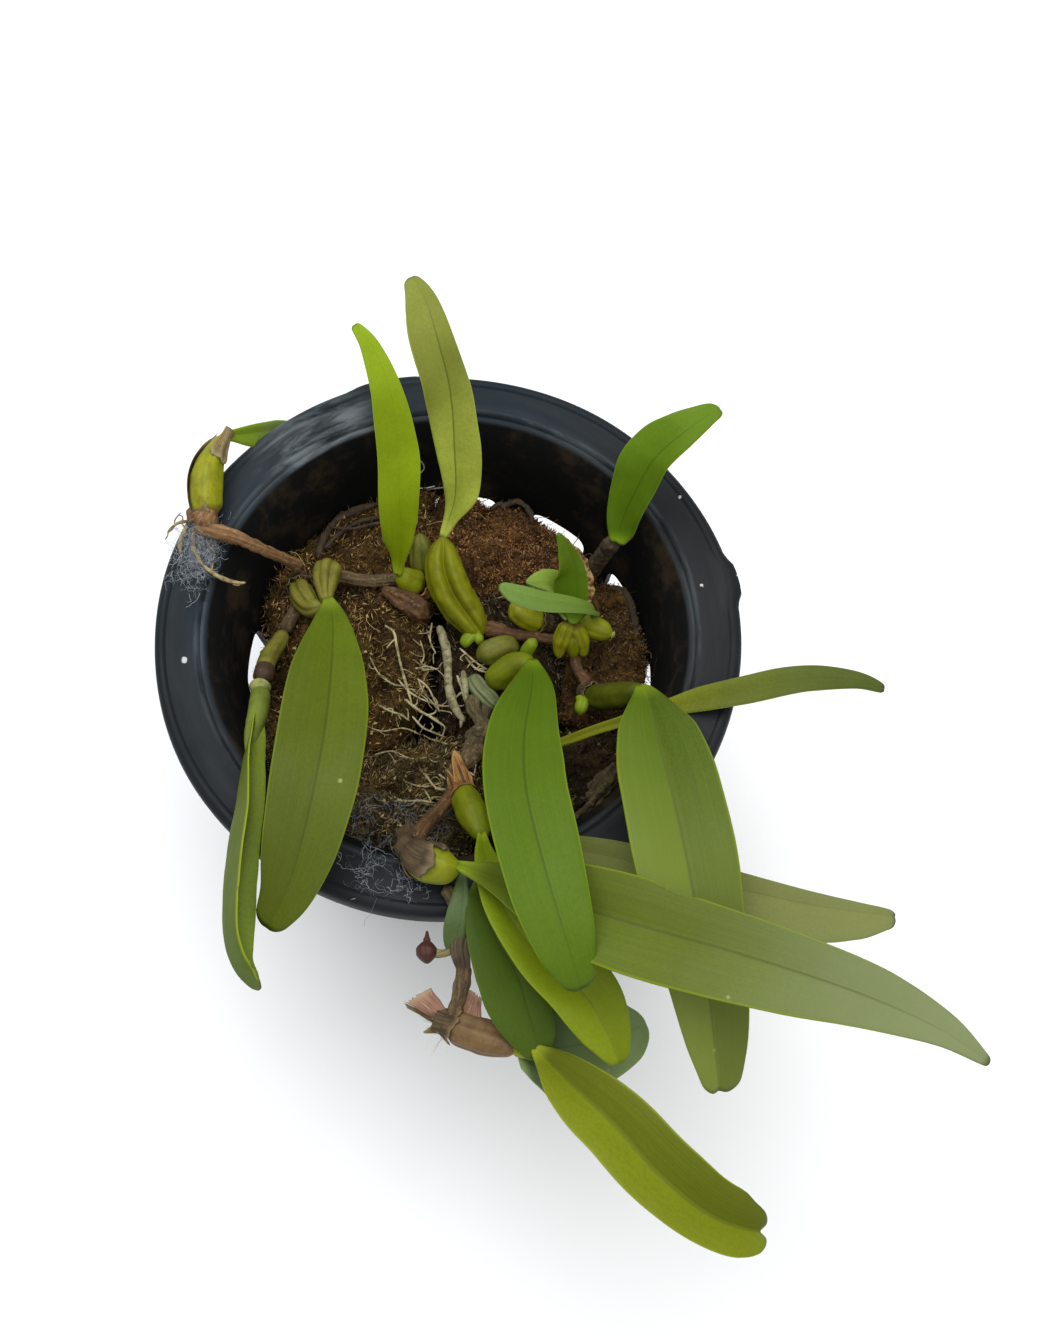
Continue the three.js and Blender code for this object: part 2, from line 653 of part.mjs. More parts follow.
const RHIZOMES = {
  rhizome_far_left: {
    route: [[-80, 25, 143.2], [-75, 23.5, 143.2], [-64, 20.5, 142], [-55.5, 22, 130], [-51.5, 26, 117]],
    radii: [2.6, 2.2, 1.7, 1.7, 2],
  },
  rhizome_left: {
    route: [[-52.8, 19.5, 112.8], [-52.5, 12, 113.4], [-54.5, 2, 114.5]],
    radii: [2, 1.8, 1.9],
  },
  rhizome_middle: {
    route: [[-40.5, 26, 113.8], [-31, 25, 113.6], [-20, 28, 113.4], [-15.3, 29, 113]],
    radii: [1.8, 1.5, 1.5, 2],
  },
  rhizome_centre: {
    route: [[8.6, 10, 112.9], [18, 10.5, 112.4], [28, 11, 112.4], [37, 6.5, 112.2], [40, -2, 112.2],
      [44, -7, 112]],
    radii: [2.2, 1.6, 1.6, 1.7, 1.6, 1.8],
  },
  rhizome_near: {
    route: [[15, -12.8, 113], [11, -27, 114.5], [7.5, -38, 119.5], [5.5, -48, 123], [-1, -60, 131],
      [-3, -71, 139], [-2.5, -76, 143]],
    radii: [1.8, 1.5, 1.6, 2, 2, 2, 1.8],
  },
  rhizome_hanging: {
    route: [[8, -85, 142.3], [12, -91, 142.2], [15, -98, 141], [14, -107, 138], [14, -113.5, 134.5]],
    radii: [1.7, 1.7, 1.8, 2, 2.2],
  },
};

for (const [name, { route, radii }] of Object.entries(RHIZOMES)) {
  place(name, stem(route, radii), COLOURS.rhizome, 0.8);
}

// Papery bracts

place('sheath_near_rim', bract(BULBS.bulb_near_rim, {
  from: -0.1, to: 0.6, startDegrees: 100, arcDegrees: 200,
}), COLOURS.sheath, 0.9);
place('sheath_near_inner', bract(BULBS.bulb_near_inner, {
  from: -0.1, to: 0.45, startDegrees: 90, arcDegrees: 180,
}), COLOURS.sheath, 0.9);
place('sheath_hanging', leaf({
  route: [[12, -112.5, 132.6], [9, -112.5, 131.5], [4, -111, 130.5], [0, -109, 129.5]],
  width: 7, widest: 0.6, fold: 20,
}), COLOURS.sheath, 0.9);

// Roots

const HUSK_ROOTS = [
  { route: [[-5, 11, 113.2], [-1, -1, 113.2], [1, -13, 113], [5.5, -21, 112.6]], radius: 1.3 },
  { route: [[0, -7, 112.9], [4, -9, 112.6], [7, -14, 112.2], [7.5, -18, 112]], radius: 0.9 },
  { route: [[-22, 9, 112.2], [-17, 2, 112.2], [-11, -12, 112.2], [-10, -17, 112.2]], radius: 0.7 },
  { route: [[-14, -6, 112.2], [-6, -10, 112.4], [0, -14, 112.8]], radius: 0.6 },
  { route: [[-20, -19, 112.2], [-10, -17.2, 112.2], [-2, -21.5, 112.2], [5, -20, 112.6]], radius: 0.7 },
];
const RIM_ROOTS = [
  { route: [[-83.6, 24, 142.2], [-82.5, 18, 141.6], [-73, 8, 141.4], [-65, 7, 141.2]], radius: 0.8 },
  { route: [[-83.6, 24.3, 142.2], [-88, 24, 141.6], [-91.5, 22, 139.5]], radius: 0.6 },
];

function rootSystem(roots) {
  return union(roots.map(({ route, radius }) => {
    const radii = route.map((point, k) => (k === route.length - 1 ? radius * 0.6 : radius));
    return stem(route, radii, ROOT_SIDES, 2);
  }));
}

place('roots_on_husk', rootSystem(HUSK_ROOTS), COLOURS.root, 0.9);
place('roots_far_left', rootSystem(RIM_ROOTS), COLOURS.root, 0.9);

export default group;
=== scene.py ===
"""The looks of a potted bulbophyllum: an orchid pot, husk chunks and a creeping orchid.

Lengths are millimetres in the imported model's frame, and become metres where a mesh is made.
Lights and materials are in metres.
Every leaf, pseudobulb, stem and root is a route from where it grows to where it ends.
"""

import math

import bpy
import numpy as np
from mathutils import Matrix, Vector, noise
from mathutils.bvhtree import BVHTree


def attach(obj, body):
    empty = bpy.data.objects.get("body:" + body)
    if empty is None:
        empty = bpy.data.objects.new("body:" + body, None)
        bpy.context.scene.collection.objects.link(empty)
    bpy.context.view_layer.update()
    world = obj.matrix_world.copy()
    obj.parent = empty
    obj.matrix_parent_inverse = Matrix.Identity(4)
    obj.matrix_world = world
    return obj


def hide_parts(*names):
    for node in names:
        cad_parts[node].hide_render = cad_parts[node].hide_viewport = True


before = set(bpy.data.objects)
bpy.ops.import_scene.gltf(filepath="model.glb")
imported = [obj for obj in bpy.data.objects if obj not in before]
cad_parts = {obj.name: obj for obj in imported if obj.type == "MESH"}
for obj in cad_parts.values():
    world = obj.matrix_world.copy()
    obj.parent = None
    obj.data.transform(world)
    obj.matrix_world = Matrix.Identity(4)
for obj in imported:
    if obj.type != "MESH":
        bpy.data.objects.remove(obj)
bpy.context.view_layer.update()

MM = 0.001
UP = np.array([0.0, 0.0, 1.0])
SEED = 7
random = np.random.default_rng(SEED)


# Camera, light and floor

CAMERA_ELEVATION = math.radians(67.8)
CAMERA_ROLL = math.radians(5.7)
CAMERA_DISTANCE = 429
CAMERA_OFFSET = (21.5, -13.4)
CAMERA_LENS = 37.72
LIGHT_AIM = (0, 0, 0.12)
POT_HEIGHT = 140


def make_camera():
    """The photograph's camera: its distance and offset are from the middle of the pot's rim."""
    back = Vector((0, -math.cos(CAMERA_ELEVATION), math.sin(CAMERA_ELEVATION)))
    level = Vector((1, 0, 0))
    upright = back.cross(level)
    image_right = level * math.cos(CAMERA_ROLL) + upright * math.sin(CAMERA_ROLL)
    image_up = upright * math.cos(CAMERA_ROLL) - level * math.sin(CAMERA_ROLL)
    spot = Vector((0, 0, POT_HEIGHT)) + back * CAMERA_DISTANCE
    spot += image_right * CAMERA_OFFSET[0] + image_up * CAMERA_OFFSET[1]
    turn = Matrix((image_right, image_up, back)).transposed().to_quaternion()
    data = bpy.data.cameras.new("camera")
    data.lens = CAMERA_LENS
    data.clip_start = 0.01
    camera = bpy.data.objects.new("camera", data)
    camera.matrix_world = Matrix.LocRotScale(spot * MM, turn, None)
    bpy.context.scene.collection.objects.link(camera)
    bpy.context.scene.camera = camera


def make_light(name, spot, size, power, colour):
    """A soft round light that shines at the plant."""
    data = bpy.data.lights.new(name, "AREA")
    data.shape = "DISK"
    data.size = size
    data.energy = power
    data.color = colour
    light = bpy.data.objects.new(name, data)
    aim = Vector(LIGHT_AIM) - Vector(spot)
    light.matrix_world = Matrix.LocRotScale(Vector(spot), aim.to_track_quat("-Z", "Y"), None)
    bpy.context.scene.collection.objects.link(light)


def make_studio():
    world = bpy.data.worlds.new("studio")
    world.use_nodes = True
    background = world.node_tree.nodes["Background"]
    background.inputs["Color"].default_value = (0.93, 0.97, 1.0, 1)
    background.inputs["Strength"].default_value = 0.6
    bpy.context.scene.world = world
    bpy.context.scene.view_settings.view_transform = "Standard"
    make_light("window", (-0.4, 0.6, 1.7), 1.7, 27, (0.96, 0.98, 1.0))
    make_light("overhead", (0.6, -0.4, 1.7), 1.7, 14, (1.0, 0.98, 0.95))


# Shapes

class Shape:
    """Points in millimetres, faces, and three values for each point that its material reads."""

    def __init__(self):
        self.points = []
        self.faces = []
        self.paint = []
        self.count = 0

    def add(self, points, faces, paint):
        first = self.count
        self.faces.extend(tuple(int(k) + first for k in face) for face in faces)
        self.points.append(points)
        self.paint.append(paint)
        self.count += len(points)


def make_mesh(name, shape):
    mesh = bpy.data.meshes.new(name)
    mesh.from_pydata((np.vstack(shape.points) * MM).tolist(), [], shape.faces)
    paint = mesh.attributes.new("paint", "FLOAT_VECTOR", "POINT")
    paint.data.foreach_set("vector", np.vstack(shape.paint).astype(np.float32).ravel())
    mesh.shade_smooth()
    return mesh


def place_mesh(name, mesh, material, stands_for):
    """Makes a piece of the mesh. Where it stands for CAD nodes, it replaces them."""
    mesh.materials.append(material)
    piece = bpy.data.objects.new(name, mesh)
    bpy.context.scene.collection.objects.link(piece)
    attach(piece, "root")
    if stands_for:
        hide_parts(*stands_for)


def place(name, shape, material, node=None):
    place_mesh(name, make_mesh(name, shape), material, [node] if node else [])


def unit(vectors):
    return vectors / np.maximum(np.linalg.norm(vectors, axis=-1, keepdims=True), 1e-9)


STEPS_BETWEEN_POINTS = 24


def smooth_path(points, count):
    """Evenly spaced places along a smooth route through the points."""
    p = np.asarray(points, float)
    p = np.vstack([2 * p[0] - p[1], p, 2 * p[-1] - p[-2]])
    dense = []
    for a, b, c, d in zip(p, p[1:], p[2:], p[3:]):
        for t in np.linspace(0, 1, STEPS_BETWEEN_POINTS, endpoint=False):
            dense.append(0.5 * (2 * b + (c - a) * t + (2 * a - 5 * b + 4 * c - d) * t ** 2
                                + (3 * b - a - 3 * c + d) * t ** 3))
    dense = np.array(dense + [p[-2]])
    reach = np.append(0, np.cumsum(np.linalg.norm(np.diff(dense, axis=0), axis=1)))
    wanted = np.linspace(0, reach[-1], count)
    return np.column_stack([np.interp(wanted, reach, dense[:, k]) for k in range(3)])


def length_of(route):
    return np.linalg.norm(np.diff(np.asarray(route, float), axis=0), axis=1).sum()


def smooth_values(stations, values, at):
    """A smooth curve through a few values, which never swings past them."""
    x = np.asarray(stations, float)
    y = np.asarray(values, float)
    steps = np.diff(y) / np.diff(x)
    slopes = np.zeros(len(x))
    for k in range(1, len(x) - 1):
        if steps[k - 1] * steps[k] > 0:
            slopes[k] = 2 * steps[k - 1] * steps[k] / (steps[k - 1] + steps[k])
    slopes[0] = steps[0]
    slopes[-1] = steps[-1]
    k = np.clip(np.searchsorted(x, at) - 1, 0, len(x) - 2)
    width = x[k + 1] - x[k]
    t = (at - x[k]) / width
    return ((1 + 2 * t) * (1 - t) ** 2 * y[k] + t * (1 - t) ** 2 * width * slopes[k]
            + t ** 2 * (3 - 2 * t) * y[k + 1] - t ** 2 * (1 - t) * width * slopes[k + 1])


def even_values(values, at):
    return smooth_values(np.linspace(0, 1, len(values)), values, at)


def frames_along(path):
    """Headings of a route, and two directions square to each that never twist round it.

    The first of the two points up where it can, and the second to the right of the heading.
    """
    headings = unit(np.gradient(path, axis=0))
    start = UP if abs(headings[0][2]) < 0.9 else np.array([0.0, -1.0, 0.0])
    upward = np.empty_like(headings)
    for k, heading in enumerate(headings):
        start = unit(start - heading * np.dot(start, heading))
        upward[k] = start
    return headings, upward, np.cross(headings, upward)


def lumps_at(points, size, seed):
    """Smooth noise from about -1 to 1 at each point, with lumps of the given size."""
    flat = np.asarray(points).reshape(-1, 3) / size + seed
    values = np.array([noise.noise(Vector(p)) for p in flat])
    return values.reshape(np.shape(points)[:-1])


def add_skin(shape, rings, along):
    """A closed body through rings. Its paint is how far along and how far round each point is."""
    rows, sides, _ = rings.shape
    points = np.vstack([rings.reshape(-1, 3), rings[0].mean(0), rings[-1].mean(0)])
    faces = []
    for row in range(rows - 1):
        for side in range(sides):
            a = row * sides + side
            b = row * sides + (side + 1) % sides
            faces.append((a, b, b + sides, a + sides))
    first = rows * sides
    for side in range(sides):
        after = (side + 1) % sides
        faces.append((after, side, first))
        faces.append((side + first - sides, after + first - sides, first + 1))
    paint = np.zeros((len(points), 3))
    paint[:first, 0] = np.repeat(along, sides)
    paint[:first, 1] = np.tile(np.arange(sides) / sides, rows)
    paint[first:, 0] = along[0], along[-1]
    shape.add(points, faces, paint)


def add_body(shape, route, radii, furrows=(), *, sides, spacing, lumps=0.06, lump_size=3.0,
             seed=0.0, blunt=False):
    """A rounded stem, root or pseudobulb along a route, with radii at even steps along it.

    A furrow is an angle from the top, a depth as a share of the radius, and a width in degrees.
    Both ends close in round caps, or only the first where the body is blunt.
    """
    length = length_of(route)
    path = smooth_path(route, max(7, int(length / spacing)))
    along = np.linspace(0, 1, len(path))
    radius = even_values(radii, along)
    from_end = along * length if blunt else np.minimum(along, 1 - along) * length
    radius = radius * np.sqrt(np.clip(from_end / np.maximum(radius * 0.8, 0.01), 0.02, 1))
    _, upward, rightward = frames_along(path)
    angles = np.linspace(0, 2 * math.pi, sides, endpoint=False)
    dent = np.zeros((len(path), sides))
    for centre, depth, width in furrows:
        gap = (np.degrees(angles) - centre + 180) % 360 - 180
        dent += depth * np.exp(-(gap / width) ** 2)
    dent *= (np.sin(math.pi * along) ** 0.35)[:, None]
    reach = radius[:, None] * (1 - dent)
    rings = path[:, None] + (reach * np.cos(angles))[..., None] * upward[:, None]
    rings = rings + (reach * np.sin(angles))[..., None] * rightward[:, None]
    swell = 1 + lumps * lumps_at(rings, lump_size, seed * 9)
    rings = path[:, None] + (rings - path[:, None]) * swell[..., None]
    add_skin(shape, rings, along)


def add_two_sided(shape, top, bottom, along, across, burn=None):
    """Joins an upper and a lower grid at their edges into one closed body."""
    rows, columns, _ = top.shape
    upper = np.arange(rows * columns).reshape(rows, columns)
    lower = upper + rows * columns
    for border in (np.s_[:, 0], np.s_[:, -1], np.s_[-1, :]):
        lower[border] = upper[border]
    faces = []
    for r in range(rows - 1):
        for c in range(columns - 1):
            faces.append((upper[r, c], upper[r, c + 1], upper[r + 1, c + 1], upper[r + 1, c]))
            faces.append((lower[r, c], lower[r + 1, c], lower[r + 1, c + 1], lower[r, c + 1]))
    for c in range(1, columns - 2):
        faces.append((upper[0, c + 1], upper[0, c], lower[0, c], lower[0, c + 1]))
    faces.append((upper[0, 1], upper[0, 0], lower[0, 1]))
    faces.append((upper[0, -1], upper[0, -2], lower[0, -2]))
    used = np.unique(np.concatenate([np.ravel(face) for face in faces]))
    renumber = np.zeros(rows * columns * 2, int)
    renumber[used] = np.arange(len(used))
    points = np.vstack([top.reshape(-1, 3), bottom.reshape(-1, 3)])[used]
    paint = np.zeros((2, rows, columns, 3))
    paint[..., 0] = across
    paint[..., 1] = along[None, :, None]
    if burn is not None:
        paint[..., 2] = burn
    shape.add(points, [tuple(renumber[k] for k in face) for face in faces],
              paint.reshape(-1, 3)[used])


def add_sheet(shape, grid, thickness=0.35):
    """A thin sheet bent as the grid of points is, with rows along it and columns across it."""
    down = np.gradient(grid, axis=0)
    over = np.gradient(grid, axis=1)
    face = unit(np.cross(over, down)) * thickness / 2
    rows, columns, _ = grid.shape
    add_two_sided(shape, grid + face, grid - face, np.linspace(0, 1, rows),
                  np.linspace(-1, 1, columns))


def add_bract(shape, route, radii, low, high, arc, flare, ragged, pointed, seed):
    """A papery bract that wraps a body between two places along it, torn at its far edge.

    The arc is the angles from the top of the body that it covers. Flare opens the far edge, and
    pointed narrows it to a tip.
    """
    rows, columns, steps = 18, 30, 40
    path = smooth_path(route, steps)
    along = np.linspace(0, 1, steps)
    headings, upward, rightward = frames_along(path)
    length = length_of(path)
    radius = even_values(radii, along)
    angles = np.radians(np.linspace(*arc, columns))
    teeth = np.array([noise.noise(Vector((a * 3.2, seed, 0.3))) for a in angles])
    from_middle = np.abs(np.linspace(-1, 1, columns))
    ends = low + (high - low) * (1 - pointed * from_middle ** 1.4) - ragged * (0.4 + 0.9 * teeth)
    grid = np.empty((rows, columns, 3))
    for r in range(rows):
        t = low + (ends - low) * r / (rows - 1)
        held = np.clip(t, 0, 1)
        picks = np.round(held * (steps - 1)).astype(int)
        middle = path[picks] + headings[picks] * ((t - held) * length)[:, None]
        opened = flare * (r / (rows - 1)) ** 2
        crease = 0.35 * np.sin(angles * 9 + seed) * r / rows
        reach = radius[picks] + 0.3 + opened + crease
        grid[r] = middle + reach[:, None] * (upward[picks] * np.cos(angles)[:, None]
                                             + rightward[picks] * np.sin(angles)[:, None])
    add_sheet(shape, grid)


def add_lines(shape, lines, width):
    """A thin three-sided pointed hair along each line of joints."""
    count, joints, _ = lines.shape
    heading = unit(lines[:, -1] - lines[:, 0] + 1e-6)
    side = unit(np.cross(heading, random.normal(size=(count, 3))))
    over = np.cross(heading, side)
    rings = joints - 2
    points = np.empty((count, 2 + rings * 3, 3))
    points[:, 0] = lines[:, 0]
    points[:, -1] = lines[:, -1]
    half = np.broadcast_to(np.asarray(width, float) / 2, (count,))[:, None]
    for k in range(3):
        angle = 2 * math.pi * k / 3
        offset = (side * math.cos(angle) + over * math.sin(angle)) * half
        points[:, 1 + k:-1:3] = lines[:, 1:-1] + offset[:, None]
    pattern = []
    for k in range(3):
        after = (k + 1) % 3
        end = 1 + (rings - 1) * 3
        pattern.append((0, 1 + after, 1 + k))
        pattern.append((end + k, end + after, 1 + rings * 3))
        for ring in range(rings - 1):
            a, b = 1 + ring * 3 + k, 1 + ring * 3 + after
            pattern.extend([(a, b, a + 3), (b, b + 3, a + 3)])
    each = points.shape[1]
    faces = np.array(pattern)[None] + (np.arange(count) * each)[:, None, None]
    paint = np.zeros((count, each, 3))
    paint[:, 1:-1, 0] = np.repeat(np.linspace(0.3, 0.8, rings), 3)[None]
    paint[:, -1, 0] = 1
    paint[:, :, 1] = random.random((count, 1))
    shape.add(points.reshape(-1, 3), faces.reshape(-1, 3).tolist(), paint.reshape(-1, 3))


def add_hairs(shape, roots, headings, lengths, width, curl, joints=3, lowest=None):
    """Hairs from their roots, each wandering from its heading by curl and never below lowest."""
    count = len(roots)
    lines = np.empty((count, joints, 3))
    lines[:, 0] = roots
    heading = unit(headings)
    for j in range(1, joints):
        heading = unit(heading + curl * random.normal(size=(count, 3)))
        lines[:, j] = lines[:, j - 1] + heading * (lengths / (joints - 1))[:, None]
        if lowest is not None:
            lines[:, j, 2] = np.maximum(lines[:, j, 2], lowest)
    add_lines(shape, lines, width)


# Materials

class Paint:
    """One node material, with short calls for the nodes that the materials here share."""

    def __init__(self, name, specular):
        self.material = bpy.data.materials.new(name)
        self.material.use_nodes = True
        self.nodes = self.material.node_tree.nodes
        self.links = self.material.node_tree.links
        self.shader = self.nodes["Principled BSDF"]
        self.shader.inputs["Specular IOR Level"].default_value = specular
        self.object = self.node("ShaderNodeTexCoord").outputs["Object"]
        self.paint = self.node("ShaderNodeAttribute", attribute_name="paint").outputs["Vector"]
        self.x, self.y, self.z = self.parts(self.paint)

    def node(self, kind, inputs=None, **properties):
        made = self.nodes.new(kind)
        for key, value in properties.items():
            setattr(made, key, value)
        for key, value in (inputs or {}).items():
            self.feed(made.inputs[key], value)
        return made

    def feed(self, socket, value):
        if isinstance(value, bpy.types.NodeSocket):
            self.links.new(value, socket)
        elif socket.type == "RGBA":
            socket.default_value = (*value, 1)
        else:
            socket.default_value = value

    def parts(self, vector):
        return self.node("ShaderNodeSeparateXYZ", {0: vector}).outputs[:3]

    def math(self, operation, a, b=0.0):
        return self.node("ShaderNodeMath", {0: a, 1: b}, operation=operation).outputs[0]

    def times(self, a, b):
        return self.math("MULTIPLY", a, b)

    def plus(self, a, b):
        return self.math("ADD", a, b)

    def between(self, value, low, high, to_low=0.0, to_high=1.0):
        """Runs smoothly from to_low to to_high as the value goes from low to high."""
        return self.node("ShaderNodeMapRange", {
            "Value": value, "From Min": low, "From Max": high, "To Min": to_low, "To Max": to_high,
        }, interpolation_type="SMOOTHSTEP").outputs["Result"]

    def stretched(self, vector, scale):
        return self.node("ShaderNodeMapping", {"Vector": vector, "Scale": scale}).outputs[0]

    def noise(self, vector, scale, detail=3.0, roughness=0.55, distortion=0.0):
        return self.node("ShaderNodeTexNoise", {
            "Vector": vector, "Scale": scale, "Detail": detail, "Roughness": roughness,
            "Distortion": distortion,
        }).outputs["Fac"]

    def cells(self, vector, scale):
        return self.node("ShaderNodeTexVoronoi", {
            "Vector": vector, "Scale": scale,
        }).outputs["Distance"]

    def mix(self, factor, a, b, blend="MIX"):
        return self.node("ShaderNodeMix", {0: factor, 6: a, 7: b}, data_type="RGBA",
                         blend_type=blend).outputs[2]

    def patches(self, colour, other, scale, detail, low, high, most, roughness=0.55, distortion=0.0):
        """The colour, with patches of noise in which it turns by at most so much to the other."""
        cloud = self.noise(self.object, scale, detail, roughness, distortion)
        return self.mix(self.between(cloud, low, high, 0, most), colour, other)

    def distance(self, *spot):
        """How many metres each place is from a spot, which is given in millimetres."""
        away = self.node("ShaderNodeVectorMath", {0: self.object, 1: [part * MM for part in spot]},
                         operation="DISTANCE")
        return away.outputs["Value"]

    def specks(self, size, density, place_scale=90):
        """Where a few small round specks lie: 1 on a speck and 0 off it."""
        dots = self.between(self.cells(self.object, size), 0.06, 0.14, 1, 0)
        rare = self.between(self.noise(self.object, place_scale, 1), density, density + 0.06)
        return self.times(dots, rare)

    def finish(self, colour, roughness, height=None, depth=0.1):
        """Feeds the shader. A height of 1 stands for depth in millimetres."""
        self.feed(self.shader.inputs["Base Color"], colour)
        self.feed(self.shader.inputs["Roughness"], roughness)
        if height is not None:
            bump = self.node("ShaderNodeBump", {"Height": height, "Distance": depth * MM,
                                                "Strength": 1.0})
            self.links.new(bump.outputs[0], self.shader.inputs["Normal"])
        return self.material


def shade(colour, factor):
    return tuple(min(1.0, part * factor) for part in colour)


LEAF_HAZE = (0.21, 0.24, 0.125)
LEAF_SPECK = (0.36, 0.38, 0.17)
BURN_TONES = ((0.07, 0.032, 0.01), (0.36, 0.23, 0.09))


def leaf_material(name, young, old, edge, half_light=(1, 1), haze=0.0, rib_shade=0.5, rim=0.93):
    """Young is the colour at the petiole and old at the tip, and the factors for the left and right
    half paint light and shade on them, one half lighter and the other darker.

    Haze dulls the far end, the midrib factor sets how dark the painted shade along the midrib is,
    and rim is where the painted light of the thin margin starts.
    """
    p = Paint(name, 0.13)
    off_rib = p.math("ABSOLUTE", p.x)
    colour = p.mix(p.between(p.y, 0.02, 0.95), young, old)
    colour = p.patches(colour, shade(old, 0.74), 38, 5, 0.3, 0.75, 0.4)
    # Painted light and shade: each half of the blade is made lighter or darker by its own factor.
    painted_half_light = p.mix(p.between(p.x, -0.1, 0.1), (half_light[0],) * 3, (half_light[1],) * 3)
    colour = p.mix(1.0, colour, painted_half_light, "MULTIPLY")
    veins = p.noise(p.stretched(p.paint, (26, 1.0, 0)), 1.0, 2, 0.6)
    colour = p.mix(p.between(veins, 0.4, 0.7, 0.0, 0.1), colour, edge)
    pores = p.noise(p.object, 1100, 3, 0.7)
    colour = p.mix(p.between(pores, 0.4, 0.65, 0.0, 0.22), colour, shade(old, 0.6))
    if haze:
        far = p.times(p.between(p.y, 0.42, 0.95), haze)
        colour = p.mix(far, colour, LEAF_HAZE)
    # Painted shade along the midrib where the blade folds, fainter towards the tip.
    groove_shade = p.times(p.between(off_rib, 0.0, 0.06, 1, 0), p.between(p.y, 0.7, 1.0, rib_shade, 0.15))
    colour = p.mix(groove_shade, colour, shade(old, 0.4))
    # Painted light: the margin is made lighter, as where light shines through the thin edge.
    colour = p.mix(p.between(off_rib, rim, 1.0, 0.0, 0.8), colour, edge)
    colour = p.mix(p.between(p.y, 0.0, 0.075, 0.75, 0.0), colour, shade(edge, 1.15))
    colour = p.mix(p.times(p.specks(160, 0.64), 0.5), colour, LEAF_SPECK)
    mottle = p.between(p.noise(p.object, 620, 4), 0.38, 0.62)
    brown = p.mix(mottle, *BURN_TONES)
    colour = p.mix(p.between(p.z, 0.25, 0.6), colour, brown)
    height = p.plus(p.times(veins, 0.6), p.times(pores, 0.4))
    return p.finish(colour, p.between(p.noise(p.object, 70, 4), 0.3, 0.7, 0.48, 0.64), height, 0.1)


def bulb_material(name, flesh, dark, base):
    """Flesh with darker ridges and dust, and brown at the base, where the bracts were."""
    p = Paint(name, 0.2)
    ridges = p.noise(p.stretched(p.paint, (1.6, 22, 0)), 1.0, 4, 0.6)
    colour = p.mix(p.between(ridges, 0.36, 0.72, 0, 0.45), flesh, dark)
    colour = p.patches(colour, dark, 170, 5, 0.42, 0.72, 0.9, 0.6)
    colour = p.patches(colour, base, 800, 3, 0.52, 0.74, 0.5)
    ragged = p.plus(p.x, p.times(p.noise(p.object, 260, 4), 0.2))
    colour = p.mix(p.between(ragged, 0.12, 0.26, 0.9, 0.0), colour, base)
    height = p.plus(ridges, p.times(p.noise(p.object, 1500, 3), 0.4))
    return p.finish(colour, p.between(ridges, 0.3, 0.7, 0.42, 0.58), height, 0.1)


def bark_material(name, light, dark, scar):
    """Dry stem skin: long fibres, dark patches and pale scars."""
    p = Paint(name, 0.2)
    grain = p.noise(p.stretched(p.paint, (3, 15, 0)), 1.0, 5, 0.65)
    colour = p.mix(p.between(grain, 0.32, 0.68), dark, light)
    colour = p.patches(colour, dark, 160, 5, 0.45, 0.7, 0.85)
    colour = p.patches(colour, scar, 900, 3, 0.56, 0.74, 0.7)
    height = p.plus(grain, p.times(p.noise(p.object, 1200, 4), 0.6))
    return p.finish(colour, 0.8, height, 0.3)


def sheath_material(name, light, dark, edge):
    """A papery bract: veins along it, a thin pale edge and brown blotches."""
    p = Paint(name, 0.2)
    veins = p.noise(p.stretched(p.paint, (16, 1.1, 0)), 1.0, 3, 0.6)
    colour = p.mix(p.between(veins, 0.36, 0.64), dark, light)
    colour = p.patches(colour, dark, 210, 5, 0.45, 0.66, 0.85)
    colour = p.mix(p.between(p.y, 0.75, 1.0, 0, 0.55), colour, edge)
    return p.finish(colour, 0.75, veins, 0.3)


def husk_material(name, light, dark, moss):
    """Cut coconut husk: crumbs of pith, dark where it is wet, green in places, with painted glints."""
    p = Paint(name, 0.12)
    grain = p.noise(p.object, 480, 7, 0.72)
    colour = p.mix(p.between(grain, 0.4, 0.64), dark, light)
    colour = p.patches(colour, shade(dark, 0.4), 60, 4, 0.38, 0.66, 0.8)
    colour = p.patches(colour, moss, 85, 4, 0.54, 0.72, 0.5, 0.6, 0.5)
    # Painted glints: bright specks, as light catching wet fibre ends.
    colour = p.mix(p.specks(1000, 0.54, 260), colour, shade(light, 3.5))
    height = p.plus(grain, p.times(p.noise(p.object, 1500, 4), 0.5))
    return p.finish(colour, 0.92, height, 1.0)


def fibre_material(name, pale, brown, dark):
    """Loose fibres: each has its own tone, with darker patches where they are wet."""
    p = Paint(name, 0.25)
    colour = p.mix(p.between(p.y, 0.15, 0.5), dark, brown)
    colour = p.mix(p.between(p.y, 0.55, 0.95), colour, pale)
    colour = p.mix(p.between(p.x, 0.0, 0.5, 0.4, 0.0), colour, dark)
    colour = p.mix(p.between(p.noise(p.object, 75, 4), 0.36, 0.56, 0.85, 0.0), colour, dark)
    return p.finish(colour, 0.6)


def root_material(name, skin_tone, worn, band):
    """Velamen: pale skin, worn grey patches, and dark bands where it has cracked."""
    p = Paint(name, 0.2)
    patches = p.noise(p.object, 380, 5, 0.65)
    colour = p.mix(p.between(patches, 0.4, 0.64), skin_tone, worn)
    rings = p.noise(p.stretched(p.paint, (30, 1.2, 0)), 1.0, 2)
    colour = p.mix(p.between(rings, 0.58, 0.7, 0, 0.8), colour, band)
    height = p.plus(patches, p.times(rings, -0.7))
    return p.finish(colour, 0.75, height, 0.35)


def hair_material(name, low, high):
    """Fine hairs, each with its own tone between the two."""
    p = Paint(name, 0.2)
    return p.finish(p.mix(p.between(p.y, 0.1, 0.9), low, high), 0.55)


def floor_material():
    p = Paint("floor", 0.1)
    return p.finish(p.mix(p.noise(p.object, 6, 3), (0.87, 0.87, 0.865), (0.89, 0.89, 0.89)), 0.9)


